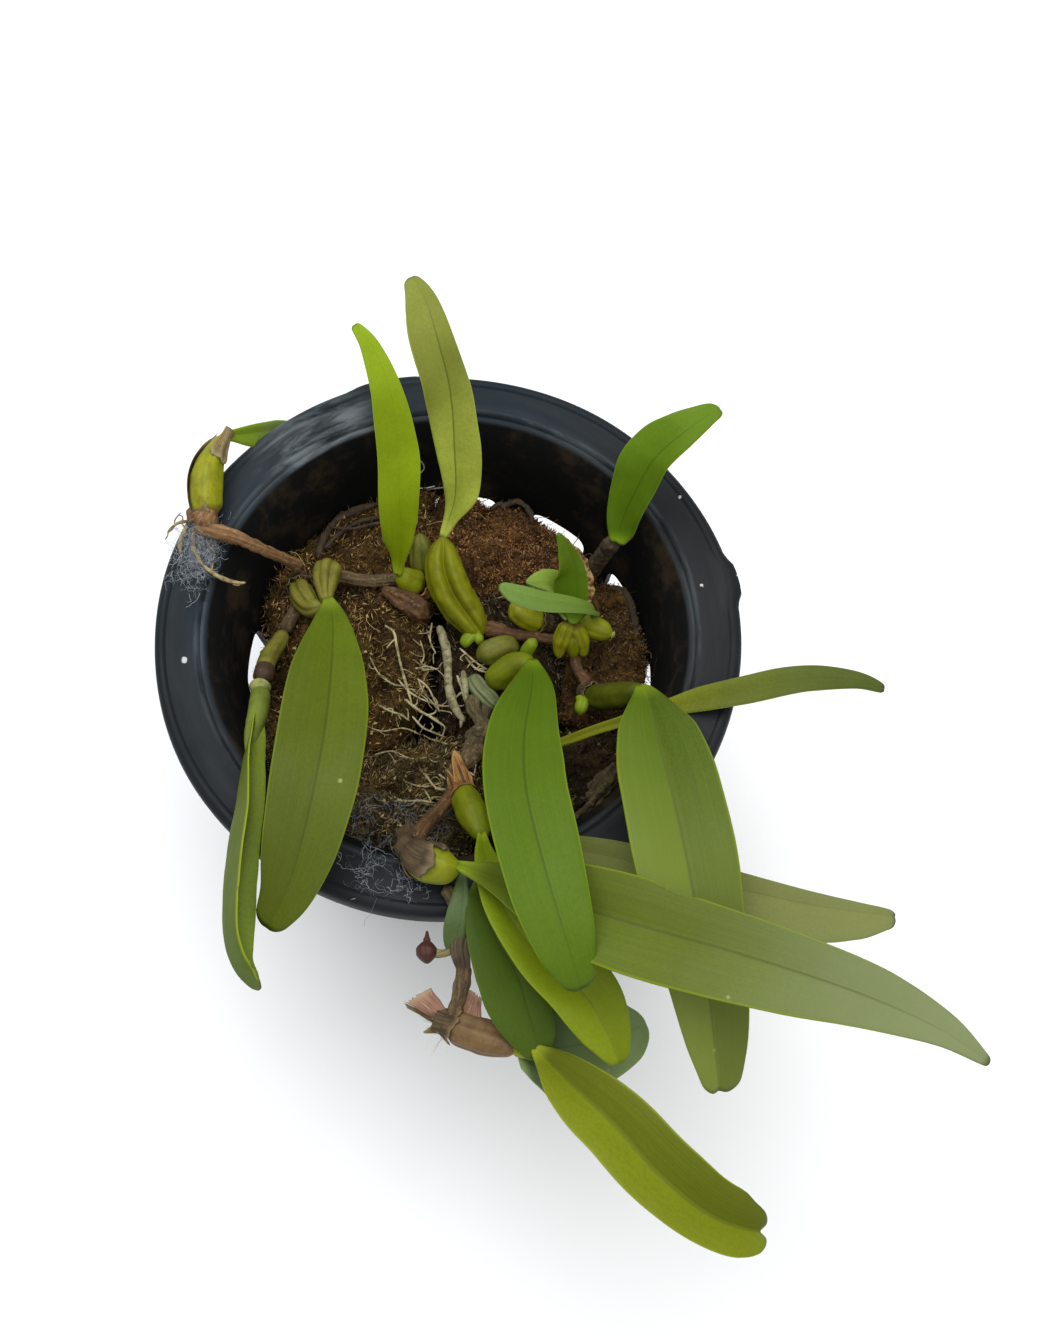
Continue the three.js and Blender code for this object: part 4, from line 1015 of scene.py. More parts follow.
# Route of the midrib, and the half-widths of the blade on its left and right at the stations.
# Fold is how many degrees each half turns up at the midrib, at the petiole, the middle and the
# tip, and roll is how far the whole blade is turned there. Bulge is 1 for a straight V, and more
# for halves that arch over and level out. Notch is how deep the tip is cut in at the midrib.
# Burn is where the blade is brown and torn: lowest and highest across, lowest and highest along.
LEAVES = {
    "leaf_left": dict(
        route=[(-39.8, 10, 125.8), (-37.6, 4, 129.6), (-35, -7, 137), (-32, -27, 149), (-30, -49, 160),
               (-31, -73, 161), (-34, -90, 156), (-39, -100, 150)],
        left=(1.9, 4.3, 7.4, 10.6, 12.2, 12.3, 10.9, 8.2, 5.4),
        right=(1.9, 5.6, 9.6, 12.8, 13.5, 13, 11.4, 8.8, 5.6),
        fold=(24, 15, 8), young=(0.088, 0.128, 0.003), old=(0.064, 0.082, 0.004),
        edge=(0.15, 0.2, 0.012), half_light=(1.08, 0.96)),
    "leaf_outer_left": dict(
        route=[(-55.3, -27.6, 130), (-54.3, -41.5, 138.6), (-54, -52, 143.5), (-53.1, -66.3, 147),
               (-53, -78.9, 148.5), (-51.9, -92.4, 148), (-50.1, -103.4, 145.5), (-46.3, -110.9, 142),
               (-40.5, -115, 137.5)],
        left=(1.4, 2.6, 5, 7.4, 8.8, 9.6, 9.4, 7.6, 3.8),
        right=(1.4, 2.6, 4.8, 7.2, 9, 10, 10.6, 10, 5.4),
        fold=(38, 64, 58), roll=(-48, -66, -62), bulge=1.15, young=(0.1, 0.126, 0.012),
        old=(0.083, 0.12, 0.01), edge=(0.25, 0.31, 0.012), half_light=(1.75, 0.95),
        rim=0.9, burn=(0.8, 1.3, 0.7, 0.73)),
    "leaf_back_narrow": dict(
        route=[(-19.3, 24.6, 122.4), (-18.5, 28, 137), (-19, 34, 154), (-20, 43, 169), (-23, 53, 184),
               (-29, 63, 190), (-35, 69, 192)],
        left=(1.7, 3.2, 6, 6.6, 6.4, 6.4, 5.6, 3.9, 2), right=(1.7, 2.4, 4.3, 6, 6.6, 5.3, 3.4, 2.4, 1.6),
        fold=(38, 12, 10), young=(0.25, 0.335, 0.004), old=(0.2, 0.29, 0.004), edge=(0.32, 0.4, 0.02),
        half_light=(0.98, 1.03), rib_shade=0.12),
    "leaf_back_tall": dict(
        route=[(-5.6, 35.2, 130.6), (-3, 43, 142), (-4, 51, 158), (-6, 60, 173), (-10, 67, 188),
               (-15, 77, 195), (-20, 84, 197)],
        left=(1.6, 2.2, 3.8, 5.6, 7.4, 8.6, 8.6, 7, 3.8), right=(1.6, 3.4, 8, 8.6, 7.3, 6.2, 4.9, 3.8, 2.4),
        fold=(32, 14, 8), young=(0.45, 0.51, 0.06), old=(0.185, 0.205, 0.03), edge=(0.36, 0.42, 0.07),
        half_light=(1.03, 0.95), rib_shade=0.75),
    "leaf_back_right": dict(
        route=[(49.6, 38.2, 133.4), (51, 43, 141), (54, 48, 151), (58, 53, 161), (65, 58, 168),
               (72, 64, 170), (76, 67, 170)],
        left=(2.4, 4.4, 6.6, 8.8, 10.2, 9.6, 7.4, 5, 3.2), right=(3.6, 5.6, 6.2, 6.4, 6.4, 6, 5, 3.8, 2.8),
        fold=(34, 24, 14), young=(0.07, 0.13, 0.002), old=(0.1, 0.18, 0.004), edge=(0.16, 0.25, 0.008),
        half_light=(1.0, 0.94), rib_shade=0.6),
    "leaf_centre": dict(
        route=[(26.8, -5, 127), (27, -20, 141), (26, -40, 157), (28, -61, 171), (35, -84, 177),
               (42, -101, 175), (47, -111, 168)],
        left=(1.9, 5, 7.8, 10, 11.4, 11.4, 10.1, 7.8, 5),
        right=(1.9, 4.8, 8.2, 10.8, 11.7, 11.6, 11, 8.8, 5.2),
        fold=(30, 15, 8), young=(0.066, 0.117, 0.002), old=(0.074, 0.129, 0.003), edge=(0.16, 0.24, 0.01),
        half_light=(1.0, 0.98), rib_shade=0.6),
    "leaf_right": dict(
        route=[(60.3, -12.6, 133.4), (61.9, -17, 138), (64.1, -29.5, 146.1), (68.7, -52.4, 158.3),
               (74, -77.5, 164.8), (80.3, -102.2, 158.8), (84.6, -119.7, 150.6), (87.4, -130.9, 144)],
        left=(1.9, 6.6, 12.8, 14.2, 14.2, 12.9, 11.2, 9.4, 6.8),
        right=(1.9, 6.4, 12.6, 15.6, 15.7, 14.1, 11, 8, 5),
        fold=(30, 20, 12), young=(0.07, 0.12, 0.001), old=(0.187, 0.237, 0.038), edge=(0.17, 0.23, 0.012),
        half_light=(0.62, 0.87), notch=0.9, rib_shade=0.85),
    "leaf_long": dict(
        route=[(11.6, -77.8, 150.6), (31, -85, 160), (57, -93, 171), (84, -100, 180), (112, -108, 187),
               (133, -115, 187), (146, -122, 186)],
        left=(2, 5.6, 11.4, 12.8, 10.8, 9.6, 8.2, 5, 1.6), right=(2, 4.6, 11, 14.6, 14, 12, 7.8, 4, 1.4),
        fold=(56, 14, 8), young=(0.078, 0.113, 0.002), old=(0.105, 0.13, 0.018), edge=(0.19, 0.25, 0.012),
        half_light=(0.92, 1.0), haze=0.62, notch=0, burn=(-1.3, -0.86, 0.385, 0.47)),
    "leaf_right_slender": dict(
        route=[(36.8, -28, 117.4), (40, -27.3, 121.5), (51.3, -23.9, 128.1), (69.3, -19.2, 136.8),
               (87.8, -15.1, 144.4), (106.9, -10.6, 150), (122.2, -9, 149.2), (132.1, -10, 147)],
        left=(1.8, 1.9, 2, 3, 4.6, 4.7, 4, 2.8, 1.8), right=(1.8, 1.9, 2.1, 2.8, 4.3, 5, 4.6, 3, 1.8),
        fold=(42, 30, 12), young=(0.21, 0.22, 0.004), old=(0.07, 0.094, 0.014), edge=(0.2, 0.24, 0.03),
        half_light=(1.0, 0.92), rib_shade=0.3),
    "leaf_right_low": dict(
        route=[(24.2, -60.2, 133.4), (27.6, -64, 136.2), (41.9, -66.6, 140.6), (63.2, -70.7, 146.1),
               (84.8, -75.1, 149.6), (106.8, -78.5, 151.5), (123.5, -79.1, 150.1), (134.5, -78.9, 148)],
        left=(1.6, 2.8, 4.2, 5.2, 5.2, 4.7, 3.8, 2.8, 2), right=(1.6, 2.8, 5, 7.2, 9.2, 10.8, 10.6, 8, 4),
        fold=(24, 10, 6), young=(0.135, 0.155, 0.03), old=(0.15, 0.16, 0.03), edge=(0.22, 0.25, 0.07),
        half_light=(0.95, 1.03), haze=0.25, notch=0.3, rib_shade=0.3),
    "leaf_near_channelled": dict(
        route=[(16.8, -65.2, 137.6), (19, -74, 145), (25, -88, 150), (36, -101, 153), (49, -110, 152),
               (56, -119, 149), (60, -126, 146)],
        left=(1.8, 2.6, 5, 8.6, 11, 11.4, 9.7, 7.2, 4.4), right=(1.8, 3, 5.1, 6.3, 7.2, 8.6, 9.6, 7.6, 4.2),
        fold=(48, 34, 16), bulge=1.4, young=(0.15, 0.21, 0.004), old=(0.16, 0.205, 0.004),
        edge=(0.23, 0.3, 0.012), half_light=(0.95, 1.16)),
    "leaf_near_dark": dict(
        route=[(17, -80, 143.5), (19, -87, 144.5), (24, -96, 145), (30, -104, 144), (34, -113, 142),
               (37, -120, 139), (39, -126, 136)],
        left=(1.3, 2, 3, 4.4, 5.4, 6, 6.4, 6, 4), right=(1.6, 4.2, 6.4, 9, 11.2, 11.6, 10, 7.8, 4.8),
        fold=(34, 18, 10), young=(0.036, 0.064, 0.004), old=(0.052, 0.09, 0.004), edge=(0.085, 0.13, 0.01),
        half_light=(0.95, 1.03), rib_shade=0.55),
    "leaf_near_hidden": dict(
        route=[(12.5, -78.6, 144.4), (13.4, -85, 145.4), (13.4, -90.8, 145), (12.8, -95.6, 142),
               (12.2, -99.8, 137.8)],
        left=(1.2, 1.4, 1.6, 1.8, 2, 2.2, 2.2, 2, 1.4), right=(1.2, 2, 2.8, 3.6, 4.2, 4.4, 4, 3.2, 2),
        fold=(15, 8, 5), young=(0.09, 0.13, 0.05), old=(0.075, 0.115, 0.035), edge=(0.13, 0.17, 0.06)),
    "leaf_near_outermost": dict(
        route=[(37.6, -123.3, 136.6), (47, -132, 144), (59, -142, 149), (71, -153, 150), (84, -161, 146),
               (95, -164, 142), (102, -164, 138)],
        left=(1.7, 4.8, 8.2, 10.7, 12, 12.2, 11.6, 10.6, 7.4),
        right=(1.7, 4.2, 8.5, 10.8, 11, 10.3, 9.6, 9, 6.4),
        fold=(34, 36, 36), bulge=1.3, young=(0.15, 0.175, 0.006), old=(0.125, 0.148, 0.004),
        edge=(0.26, 0.3, 0.02), half_light=(0.7, 1.2), notch=1.8, rib_shade=0.2),
    # Painted shadow: this leaf lies low by the near rim, under the leaves above it, so its young colour is
    # dark and it turns lighter towards the tip.
    "leaf_near_under": dict(
        route=[(33, -124.5, 131.5), (39, -122.5, 131), (46, -121, 131), (53, -119, 131), (60, -116, 130.5),
               (65, -114, 129), (69, -112, 127)],
        left=(2, 6, 10, 13, 14, 14, 12, 9.5, 6), right=(4, 9, 12.4, 13, 12.6, 12, 11, 9, 6),
        fold=(12, 6, 4), young=(0.028, 0.056, 0.02), old=(0.19, 0.26, 0.1), edge=(0.2, 0.26, 0.08)),
    "leaf_far_left": dict(
        route=[(-78.6, 53.4, 146.6), (-76.4, 55, 145.6), (-72.6, 58.4, 142), (-68.4, 64, 135.4),
               (-64.4, 71, 126), (-60, 77.6, 116)],
        left=(1.2, 1.8, 2.4, 2.8, 3, 3.2, 3, 2.6, 1.8), right=(1.2, 2.4, 4.6, 6, 6.4, 6.4, 5.8, 4.4, 3),
        fold=(34, 20, 12), roll=(30, 50, 60), young=(0.15, 0.22, 0.006), old=(0.1, 0.16, 0.006),
        edge=(0.22, 0.3, 0.02), half_light=(1.1, 0.9), rib_shade=0.4),
    "leaf_torn": dict(
        route=[(38.2, 11.3, 125.6), (38.6, 17, 131), (37, 23, 139.5), (33.5, 26.6, 147), (30.2, 29, 151.6)],
        left=(1.5, 3.2, 6, 7.4, 7.4, 6.4, 4.4, 2.4, 0.8), right=(1.5, 3.4, 5.4, 6.2, 6, 4.8, 3.2, 1.8, 0.8),
        fold=(20, 8, 4), young=(0.075, 0.15, 0.003), old=(0.08, 0.14, 0.004), edge=(0.13, 0.21, 0.01),
        half_light=(1.0, 0.95), rib_shade=0.2, notch=0, burn=(0.5, 1.8, 0.2, 1.1)),
    "leaf_pale_blade": dict(
        route=[(45, 15.5, 121.8), (44, 14, 130), (38, 12, 137), (28, 9.5, 143.5), (20, 9, 147.5),
               (14, 10.5, 149)],
        left=(1.3, 1.8, 2.4, 3.2, 3.9, 4.4, 4.6, 4, 2.4),
        right=(1.1, 1.6, 2.2, 2.7, 3.1, 3.4, 3.4, 2.8, 1.8),
        fold=(30, 12, 14), roll=(0, 10, 6), young=(0.1, 0.165, 0.012), old=(0.125, 0.205, 0.036),
        edge=(0.26, 0.34, 0.1), half_light=(0.95, 1.05), rib_shade=0.15, notch=0),
    "leaf_tuft_behind": dict(
        route=[(36, 13, 124.5), (34, 18, 129.4), (29, 20, 134), (22, 18.6, 136)],
        left=(1.2, 2.4, 3.8, 4.6, 4.8, 4.4, 3.6, 2.4, 1.2),
        right=(1.2, 2.6, 4.4, 5.6, 5.8, 5.2, 4, 2.8, 1.6),
        fold=(40, 34, 26), young=(0.15, 0.235, 0.006), old=(0.16, 0.24, 0.03), edge=(0.3, 0.38, 0.12),
        half_light=(0.85, 1.2), rib_shade=0.2, notch=0),
}


def patch_at(patch, across, along):
    """How deep in a patch of the blade each place is, from 0 outside to 1 well inside it."""
    low_across, high_across, low_along, high_along = patch
    inside = np.minimum(across - low_across, high_across - across) / 0.2
    between = np.minimum(along - low_along, high_along - along) / 0.02
    return np.clip(inside, 0, 1) * np.clip(between, 0, 1)


def blade_frames(path, roll, along):
    """The directions across the blade and out of its upper face, at each place on the midrib."""
    headings = unit(np.gradient(path, axis=0))
    level = unit(np.cross(headings, UP))
    turn = np.radians(smooth_values((0, 0.5, 1), roll, along))[:, None]
    side = level * np.cos(turn) + np.cross(headings, level) * np.sin(turn)
    return side, np.cross(side, headings)


def add_blade(shape, route, left, right, fold, roll=(0, 0, 0), bulge=1.7, notch=0.15, burn=None):
    """A thick two-sided blade round its midrib. Paint is how far across and along, and the burn."""
    path = smooth_path(route, BLADE_ROWS)
    length = length_of(path)
    along = np.linspace(0, 1, BLADE_ROWS)
    side, face = blade_frames(path, roll, along)
    slope = np.radians(smooth_values((0, 0.5, 1), fold, along))
    left_half = smooth_values(BLADE_STATIONS, left, along)
    right_half = smooth_values(BLADE_STATIONS, right, along)
    across = np.concatenate([-BLADE_COLUMNS[:0:-1], BLADE_COLUMNS])
    petiole = np.clip(1 - along / PETIOLE_SHARE, 0, 1) ** 1.5
    middle = BLADE_THICKNESS + (PETIOLE_THICKNESS - BLADE_THICKNESS) * petiole
    burnt = np.zeros((BLADE_ROWS, len(across)))
    if burn:
        burnt = patch_at(burn, across[None], along[:, None])
    tears = 1 - 0.16 * burnt * (1 + lumps_at(path, 2.0, 4.0))[:, None]
    tip_reach = (left[-1] + right[-1]) / 2 / length
    grids = {}
    for upper in (1, -1):
        grid = np.empty((BLADE_ROWS, len(across), 3))
        for k, u in enumerate(across):
            width = (right_half if u > 0 else left_half) * tears[:, k]
            back = tip_reach * (1 - math.sqrt(1 - min(u * u, 0.985)))
            back += notch / length * math.exp(-(u / 0.2) ** 2)
            reach = along * (1 - back)
            centre = np.column_stack([np.interp(reach, along, path[:, axis]) for axis in range(3)])
            soft = math.sqrt(u * u + 0.004) - math.sqrt(0.004)
            rise = (1 - (1 - min(soft, 1)) ** bulge) / bulge * width * np.sin(slope)
            rim = np.sqrt(1 - abs(u) ** (5 - 2.6 * petiole))
            rise = rise + upper * middle / 2 * rim * np.sqrt(np.clip((1 - along) / 0.02, 0, 1))
            over = u * width * np.cos(slope) ** (1 / bulge)
            grid[:, k] = centre + side * over[:, None] + face * rise[:, None]
        grids[upper] = grid
    ripple = BLADE_WAVE * lumps_at(grids[1], 15.0, length) * np.abs(across)[None] ** 1.5
    ripple += 0.14 * lumps_at(grids[1], 5.0, 2.0)
    for grid in grids.values():
        grid += face[:, None] * ripple[..., None]
    add_two_sided(shape, grids[1], grids[-1], along, across, burnt)


# The parts of a leaf's row that its material takes. Its blade takes the others.
LEAF_LOOK = ("young", "old", "edge", "half_light", "haze", "rib_shade", "rim")


def make_leaves():
    for name, leaf in LEAVES.items():
        look = {key: value for key, value in leaf.items() if key in LEAF_LOOK}
        form = {key: value for key, value in leaf.items() if key not in LEAF_LOOK}
        shape = Shape()
        add_blade(shape, **form)
        place(f"{name}_surface", shape, leaf_material(name, **look), name)


# Pseudobulbs, rhizome and stems

# Flesh, its darker ridges and patches, and the base.
BULB_LOOKS = {
    "yellow": ((0.245, 0.25, 0.004), (0.155, 0.16, 0.004), (0.14, 0.07, 0.022)),
    "lime": ((0.2, 0.22, 0.004), (0.13, 0.14, 0.003), (0.14, 0.1, 0.02)),
    "leek": ((0.15, 0.18, 0.003), (0.1, 0.115, 0.003), (0.12, 0.09, 0.015)),
    "petiole": ((0.16, 0.2, 0.03), (0.11, 0.14, 0.018), (0.13, 0.13, 0.03)),
    "ribbed": ((0.185, 0.19, 0.003), (0.11, 0.11, 0.003), (0.21, 0.21, 0.008)),
    "olive": ((0.135, 0.14, 0.015), (0.075, 0.075, 0.009), (0.07, 0.05, 0.018)),
    "straw": ((0.165, 0.155, 0.02), (0.1, 0.09, 0.013), (0.15, 0.085, 0.03)),
    "green": ((0.105, 0.135, 0.004), (0.06, 0.08, 0.003), (0.06, 0.045, 0.012)),
    "deep": ((0.072, 0.085, 0.003), (0.04, 0.046, 0.003), (0.06, 0.035, 0.012)),
    "band": ((0.07, 0.04, 0.022), (0.035, 0.02, 0.012), (0.1, 0.07, 0.03)),
    "cream": ((0.3, 0.31, 0.1), (0.2, 0.21, 0.05), (0.12, 0.09, 0.04)),
    "pale": ((0.15, 0.17, 0.075), (0.075, 0.09, 0.03), (0.1, 0.08, 0.04)),
    "tan": ((0.165, 0.098, 0.04), (0.085, 0.049, 0.022), (0.06, 0.034, 0.018)),
    "wood": ((0.09, 0.064, 0.036), (0.032, 0.022, 0.013), (0.075, 0.052, 0.03)),
    "bud": ((0.19, 0.265, 0.008), (0.12, 0.17, 0.006), (0.15, 0.16, 0.02)),
}

# Light and dark fibres, and scars.
BARK_LOOKS = {
    "pink": ((0.29, 0.155, 0.066), (0.1, 0.052, 0.022), (0.36, 0.245, 0.13)),
    "rust": ((0.155, 0.078, 0.032), (0.06, 0.031, 0.014), (0.24, 0.155, 0.08)),
    "brown": ((0.15, 0.1, 0.045), (0.05, 0.032, 0.016), (0.26, 0.18, 0.1)),
    "grey": ((0.14, 0.107, 0.05), (0.042, 0.031, 0.015), (0.27, 0.22, 0.12)),
    "orange": ((0.26, 0.12, 0.035), (0.075, 0.035, 0.014), (0.3, 0.2, 0.1)),
    "dark": ((0.078, 0.054, 0.03), (0.035, 0.025, 0.015), (0.15, 0.12, 0.07)),
}

# Each body stands for the CAD node it is named after. Its parts are a look, a route, the radii at
# even steps along it, and its furrows as angle, depth and width.
BODIES = {
    "bulb_far_left": [
        ("yellow", [(-77.6, 25, 144.6), (-79.6, 32, 146.2), (-80.4, 40, 147), (-79.4, 47, 147.2),
                    (-77.6, 54, 146.8)],
         (3.4, 5, 5.3, 4.7, 3.3, 1.9), [(-62, 0.05, 20), (62, 0.08, 20), (130, 0.1, 20)]),
    ],
    "bulb_left": [
        ("straw", [(-42.6, 28.5, 116.4), (-42.8, 21, 119.5), (-41.6, 14, 123), (-40.4, 10, 125.6)],
         (4.2, 5, 4.3, 3, 2), [(-24, 0.3, 12), (36, 0.16, 12), (100, 0.24, 16), (-100, 0.2, 20)]),
        ("straw", [(-52, 20.5, 114.6), (-49.8, 14.5, 118), (-45.8, 9.5, 121), (-42, 8.8, 124.4)],
         (3.4, 4.3, 3.8, 1.8), [(24, 0.26, 12), (80, 0.2, 14), (-60, 0.2, 14)]),
    ],
    "bulb_outer_left": [
        ("straw", [(-54, 3, 114.6), (-55.4, -2, 115.8), (-57, -8.4, 118.8), (-57.3, -14, 121.6)],
         (2.2, 2.7, 2.9, 3, 2.8), [(-50, 0.06, 16), (60, 0.06, 16)]),
        ("band", [(-57.2, -11, 120), (-57, -15, 122), (-56.9, -19, 124.2)],
         (2.9, 3.25, 3.3, 3), []),
        ("cream", [(-57, -18.4, 123.8), (-56.8, -21.4, 125.4), (-56.3, -23.4, 126.8)],
         (3.2, 3.4, 3.1), []),
        ("petiole", [(-56.4, -22.4, 126.2), (-55.4, -27, 129.6), (-54.7, -32, 132.8), (-54.3, -39, 136.8),
                     (-54.2, -48, 141)], (3, 3.2, 3, 2.4, 0.5), []),
    ],
    "bulb_back_small": [
        ("lime", [(-11.4, 24.5, 113), (-16.4, 24.3, 117.6), (-19.4, 24.6, 122.8)],
         (4, 4.6, 3.8, 1.9), [(-20, 0.14, 14), (70, 0.16, 18)]),
    ],
    "bulb_back_olive": [
        ("olive", [(-12, 28, 112), (-13, 34, 117), (-14.6, 39.6, 121.6)],
         (3.6, 4.4, 4, 2.2), [(10, 0.16, 14), (-60, 0.16, 18), (90, 0.2, 18)]),
    ],
    "bulb_back_ribbed": [
        ("ribbed", [(9.6, 8.6, 114), (5, 12.8, 117.6), (-0.8, 18.6, 121.6), (-4.8, 25.8, 126.2),
                    (-6, 34.6, 131)],
         (3.6, 5.6, 6.6, 6.8, 5.6, 2.2),
         [(-16, 0.62, 12), (66, 0.12, 9), (-88, 0.12, 12), (150, 0.16, 16)]),
    ],
    "bulb_tuft_left": [
        ("yellow", [(30, 15.4, 113.6), (25.6, 15.4, 115.6), (21, 16.2, 118.4), (18, 18.4, 120.6)],
         (2.6, 3.9, 4.2, 3.8, 2.2), [(0, 0.08, 14), (80, 0.12, 18), (-80, 0.12, 18)]),
    ],
    "bulb_tuft_near": [
        ("yellow", [(37.4, 13, 123.6), (36.4, 9.6, 121), (35, 5.4, 117.2), (35.2, 3, 114.6)],
         (1.8, 3.3, 3.4, 2.3, 0.9), [(-12, 0.3, 9), (60, 0.2, 14), (-70, 0.2, 14)]),
        ("yellow", [(38.6, 12, 123.4), (41, 9, 120.4), (42.6, 6.2, 117.2), (42.4, 4.2, 115)],
         (1.8, 2.9, 2.9, 2, 1.2), [(14, 0.26, 9), (-70, 0.2, 14)]),
        ("lime", [(38, 9.6, 121.6), (39.2, 6.4, 118), (39.6, 4, 114)],
         (2, 2.8, 2.2, 1), [(0, 0.16, 12)]),
    ],
    "bulb_tuft_right": [
        ("lime", [(38.6, 13.4, 117.6), (42.2, 13.8, 119), (46.6, 12.4, 119.8), (51.6, 10.4, 120.6)],
         (2.3, 3.6, 3.9, 3.3, 2.2), [(40, 0.08, 12)]),
        ("cream", [(51, 10.6, 120.6), (51.8, 10.3, 120.7), (52.2, 10.1, 120.7)], (2.3, 2.4, 1.9), []),
    ],
    "bulb_centre_old": [
        ("olive", [(22, 5.6, 114), (17, 4.2, 116), (12.6, 2, 116), (8.6, 0.4, 114.4)],
         (2.8, 4.3, 4.6, 3.2), [(14, 0.05, 16), (70, 0.1, 18), (-60, 0.1, 18)]),
    ],
    "bulb_centre": [
        ("leek", [(13.6, -9.4, 113.6), (17, -6, 117.6), (22.4, -3.8, 122.6), (27, -5, 127)],
         (2.8, 4.6, 4.8, 3.9, 2.1), [(60, 0.06, 20), (-70, 0.08, 20)]),
    ],
    "bulb_centre_withered": [
        ("pale", [(7.6, -5, 112.8), (10.6, -9.8, 114), (14, -13, 114), (17.4, -15.6, 113)],
         (1.8, 3, 3.2, 2.2), [(-30, 0.2, 10), (10, 0.14, 8), (45, 0.2, 10), (-75, 0.2, 12)]),
    ],
    "bulb_right": [
        ("deep", [(44.8, -6.6, 112), (49.4, -9.4, 116), (54.6, -11.2, 122.6), (58.4, -12.4, 129),
                  (60.2, -13, 134.2)],
         (2.6, 4.4, 4.7, 4.1, 2.2), [(-34, 0.06, 18), (56, 0.06, 18), (130, 0.1, 18)]),
    ],
    "bulb_hidden_right": [
        ("green", [(28, -31, 107), (32, -29.6, 112), (36.8, -28, 118)], (2.6, 4, 3.8, 2), []),
    ],
    "bulb_hidden_near": [
        ("green", [(22.5, -46, 106.7), (23.4, -51, 118), (24, -56, 127), (24.2, -60, 134)],
         (2.6, 4, 4, 3, 1.9), []),
    ],
    "bulb_near_inner": [
        ("leek", [(9, -47.4, 126.6), (12, -54.6, 131), (15, -61, 135.6), (16.9, -66, 138.4)],
         (2.8, 4.5, 4.8, 3.8, 2), [(60, 0.05, 18), (-60, 0.05, 18)]),
    ],
    "bulb_near_rim": [
        ("lime", [(-3.4, -72.4, 145), (1.4, -76, 147.2), (6.6, -77.8, 149), (12.2, -78, 151)],
         (3, 5.2, 5.6, 4.6, 2.3), [(40, 0.08, 16), (-40, 0.06, 16)]),
    ],
    "bud_back": [
        ("bud", [(8.4, 10.4, 114.6), (6.6, 8, 116), (4.8, 5.6, 116), (4.4, 3.4, 114.6)],
         (1.8, 2.3, 2.2, 2, 1.5), [(-20, 0.1, 16)]),
        ("bud", [(6.6, 8.6, 115.6), (8.6, 6.6, 116), (8.8, 4.6, 115)], (1, 1.7, 1.2), []),
    ],
    "bud_centre": [
        ("bud", [(23.8, 3.2, 113), (25, 4.4, 117.4), (27, 6.3, 120.6)], (2, 2.2, 2.1, 1.5), []),
    ],
    "stem_back_right": [
        ("dark", [(41.6, 35.4, 106.6), (45, 37.6, 118), (47.4, 38.4, 126.4)], (2.9, 2.9, 2.7, 2.6), []),
        ("dark", [(46.8, 38.2, 124.6), (48.6, 38.4, 130.6), (49.4, 38.2, 133.6)],
         (2.5, 2.9, 2.8, 2.2), []),
    ],
    "bulb_withered": [
        ("tan", [(11.6, -117.6, 132), (19, -119.8, 133.4), (27, -121.6, 134), (33.4, -122.8, 134.8)],
         (3.2, 5, 5.2, 4.4, 2.6), [(-20, 0.1, 12), (40, 0.08, 12), (85, 0.14, 14), (-75, 0.16, 14)]),
        ("lime", [(30.6, -122, 134.4), (35, -123, 135.4), (38, -123.4, 137)], (3, 2.9, 2.2), []),
    ],
    "rhizome_far_left": [
        ("pink", [(-82, 23.4, 143.2), (-75.3, 21.6, 144), (-67.4, 20.2, 143.4), (-61.4, 20, 138.4),
                  (-56.5, 22, 129.4), (-52, 24.3, 119.6)], (2.8, 2.5, 2, 1.8, 1.8, 2.2), []),
        ("pink", [(-81.4, 23, 143.2), (-78.4, 26, 145.4), (-77.4, 29, 146)], (2.6, 4.2, 3.4), []),
        ("orange", [(-84.4, 25, 143.4), (-80.6, 25.4, 146.4), (-76.6, 24.4, 147.2)], (1.6, 2, 1.6), []),
    ],
    "rhizome_left": [
        ("brown", [(-50.2, 19.4, 112.8), (-51.4, 14, 113.8), (-53, 7.6, 114), (-54.4, 2.4, 115)],
         (2.2, 2.3, 2.2, 2.4), []),
    ],
    "rhizome_middle": [
        ("brown", [(-43, 25.4, 114), (-36, 24.2, 114.4), (-29, 24, 114.2), (-21, 25.6, 114),
                   (-14.6, 27.6, 113)], (2.5, 2.2, 2.2, 2.3, 2.4), [(0, 0.12, 10), (60, 0.12, 10)]),
    ],
    "rhizome_centre": [
        ("rust", [(8.4, 10.6, 113.6), (12, 11.2, 114), (19, 10.2, 113.8), (28, 9.9, 113.8),
                  (36, 9.4, 113.4)], (3.2, 2.3, 1.9, 1.9, 2), []),
        ("rust", [(38.6, 10, 113.2), (40.2, 5, 113.4), (41.6, 0.4, 113), (45.6, -4.6, 112.4)],
         (2, 1.9, 1.8, 2.3), []),
    ],
    "rhizome_near": [
        ("grey", [(14, -12.6, 113), (12.6, -21, 114), (11.4, -28, 115.4), (8.6, -36, 119.4),
                  (7, -44, 122.6), (6.4, -50, 126)], (2.1, 1.7, 2.9, 2.2, 2.6, 2.2), []),
        ("grey", [(8.8, -12, 113.4), (9.6, -18, 115), (13, -23, 115.6), (12, -29, 116)],
         (1.6, 2.6, 1.9, 3, 2), []),
        ("grey", [(15.4, -22, 114.6), (11.6, -26, 117), (7.6, -27.6, 115.4)], (1.6, 2.4, 1.5), []),
        ("brown", [(13.6, -30, 115.4), (10.6, -34.4, 119), (9, -39.6, 121.6)], (2.2, 2.9, 2), []),
        ("rust", [(6.6, -49, 125.4), (3, -56.6, 130.6), (0, -62.6, 136), (-2.4, -70.4, 143.4)],
         (2.3, 2, 2.3, 2.4, 2.5), []),
    ],
    "rhizome_hanging": [
        ("grey", [(8, -81.6, 143.4), (11.6, -87, 142), (15.4, -92, 140.6), (16, -96, 140.4)],
         (2.2, 1.9, 2, 2.6), []),
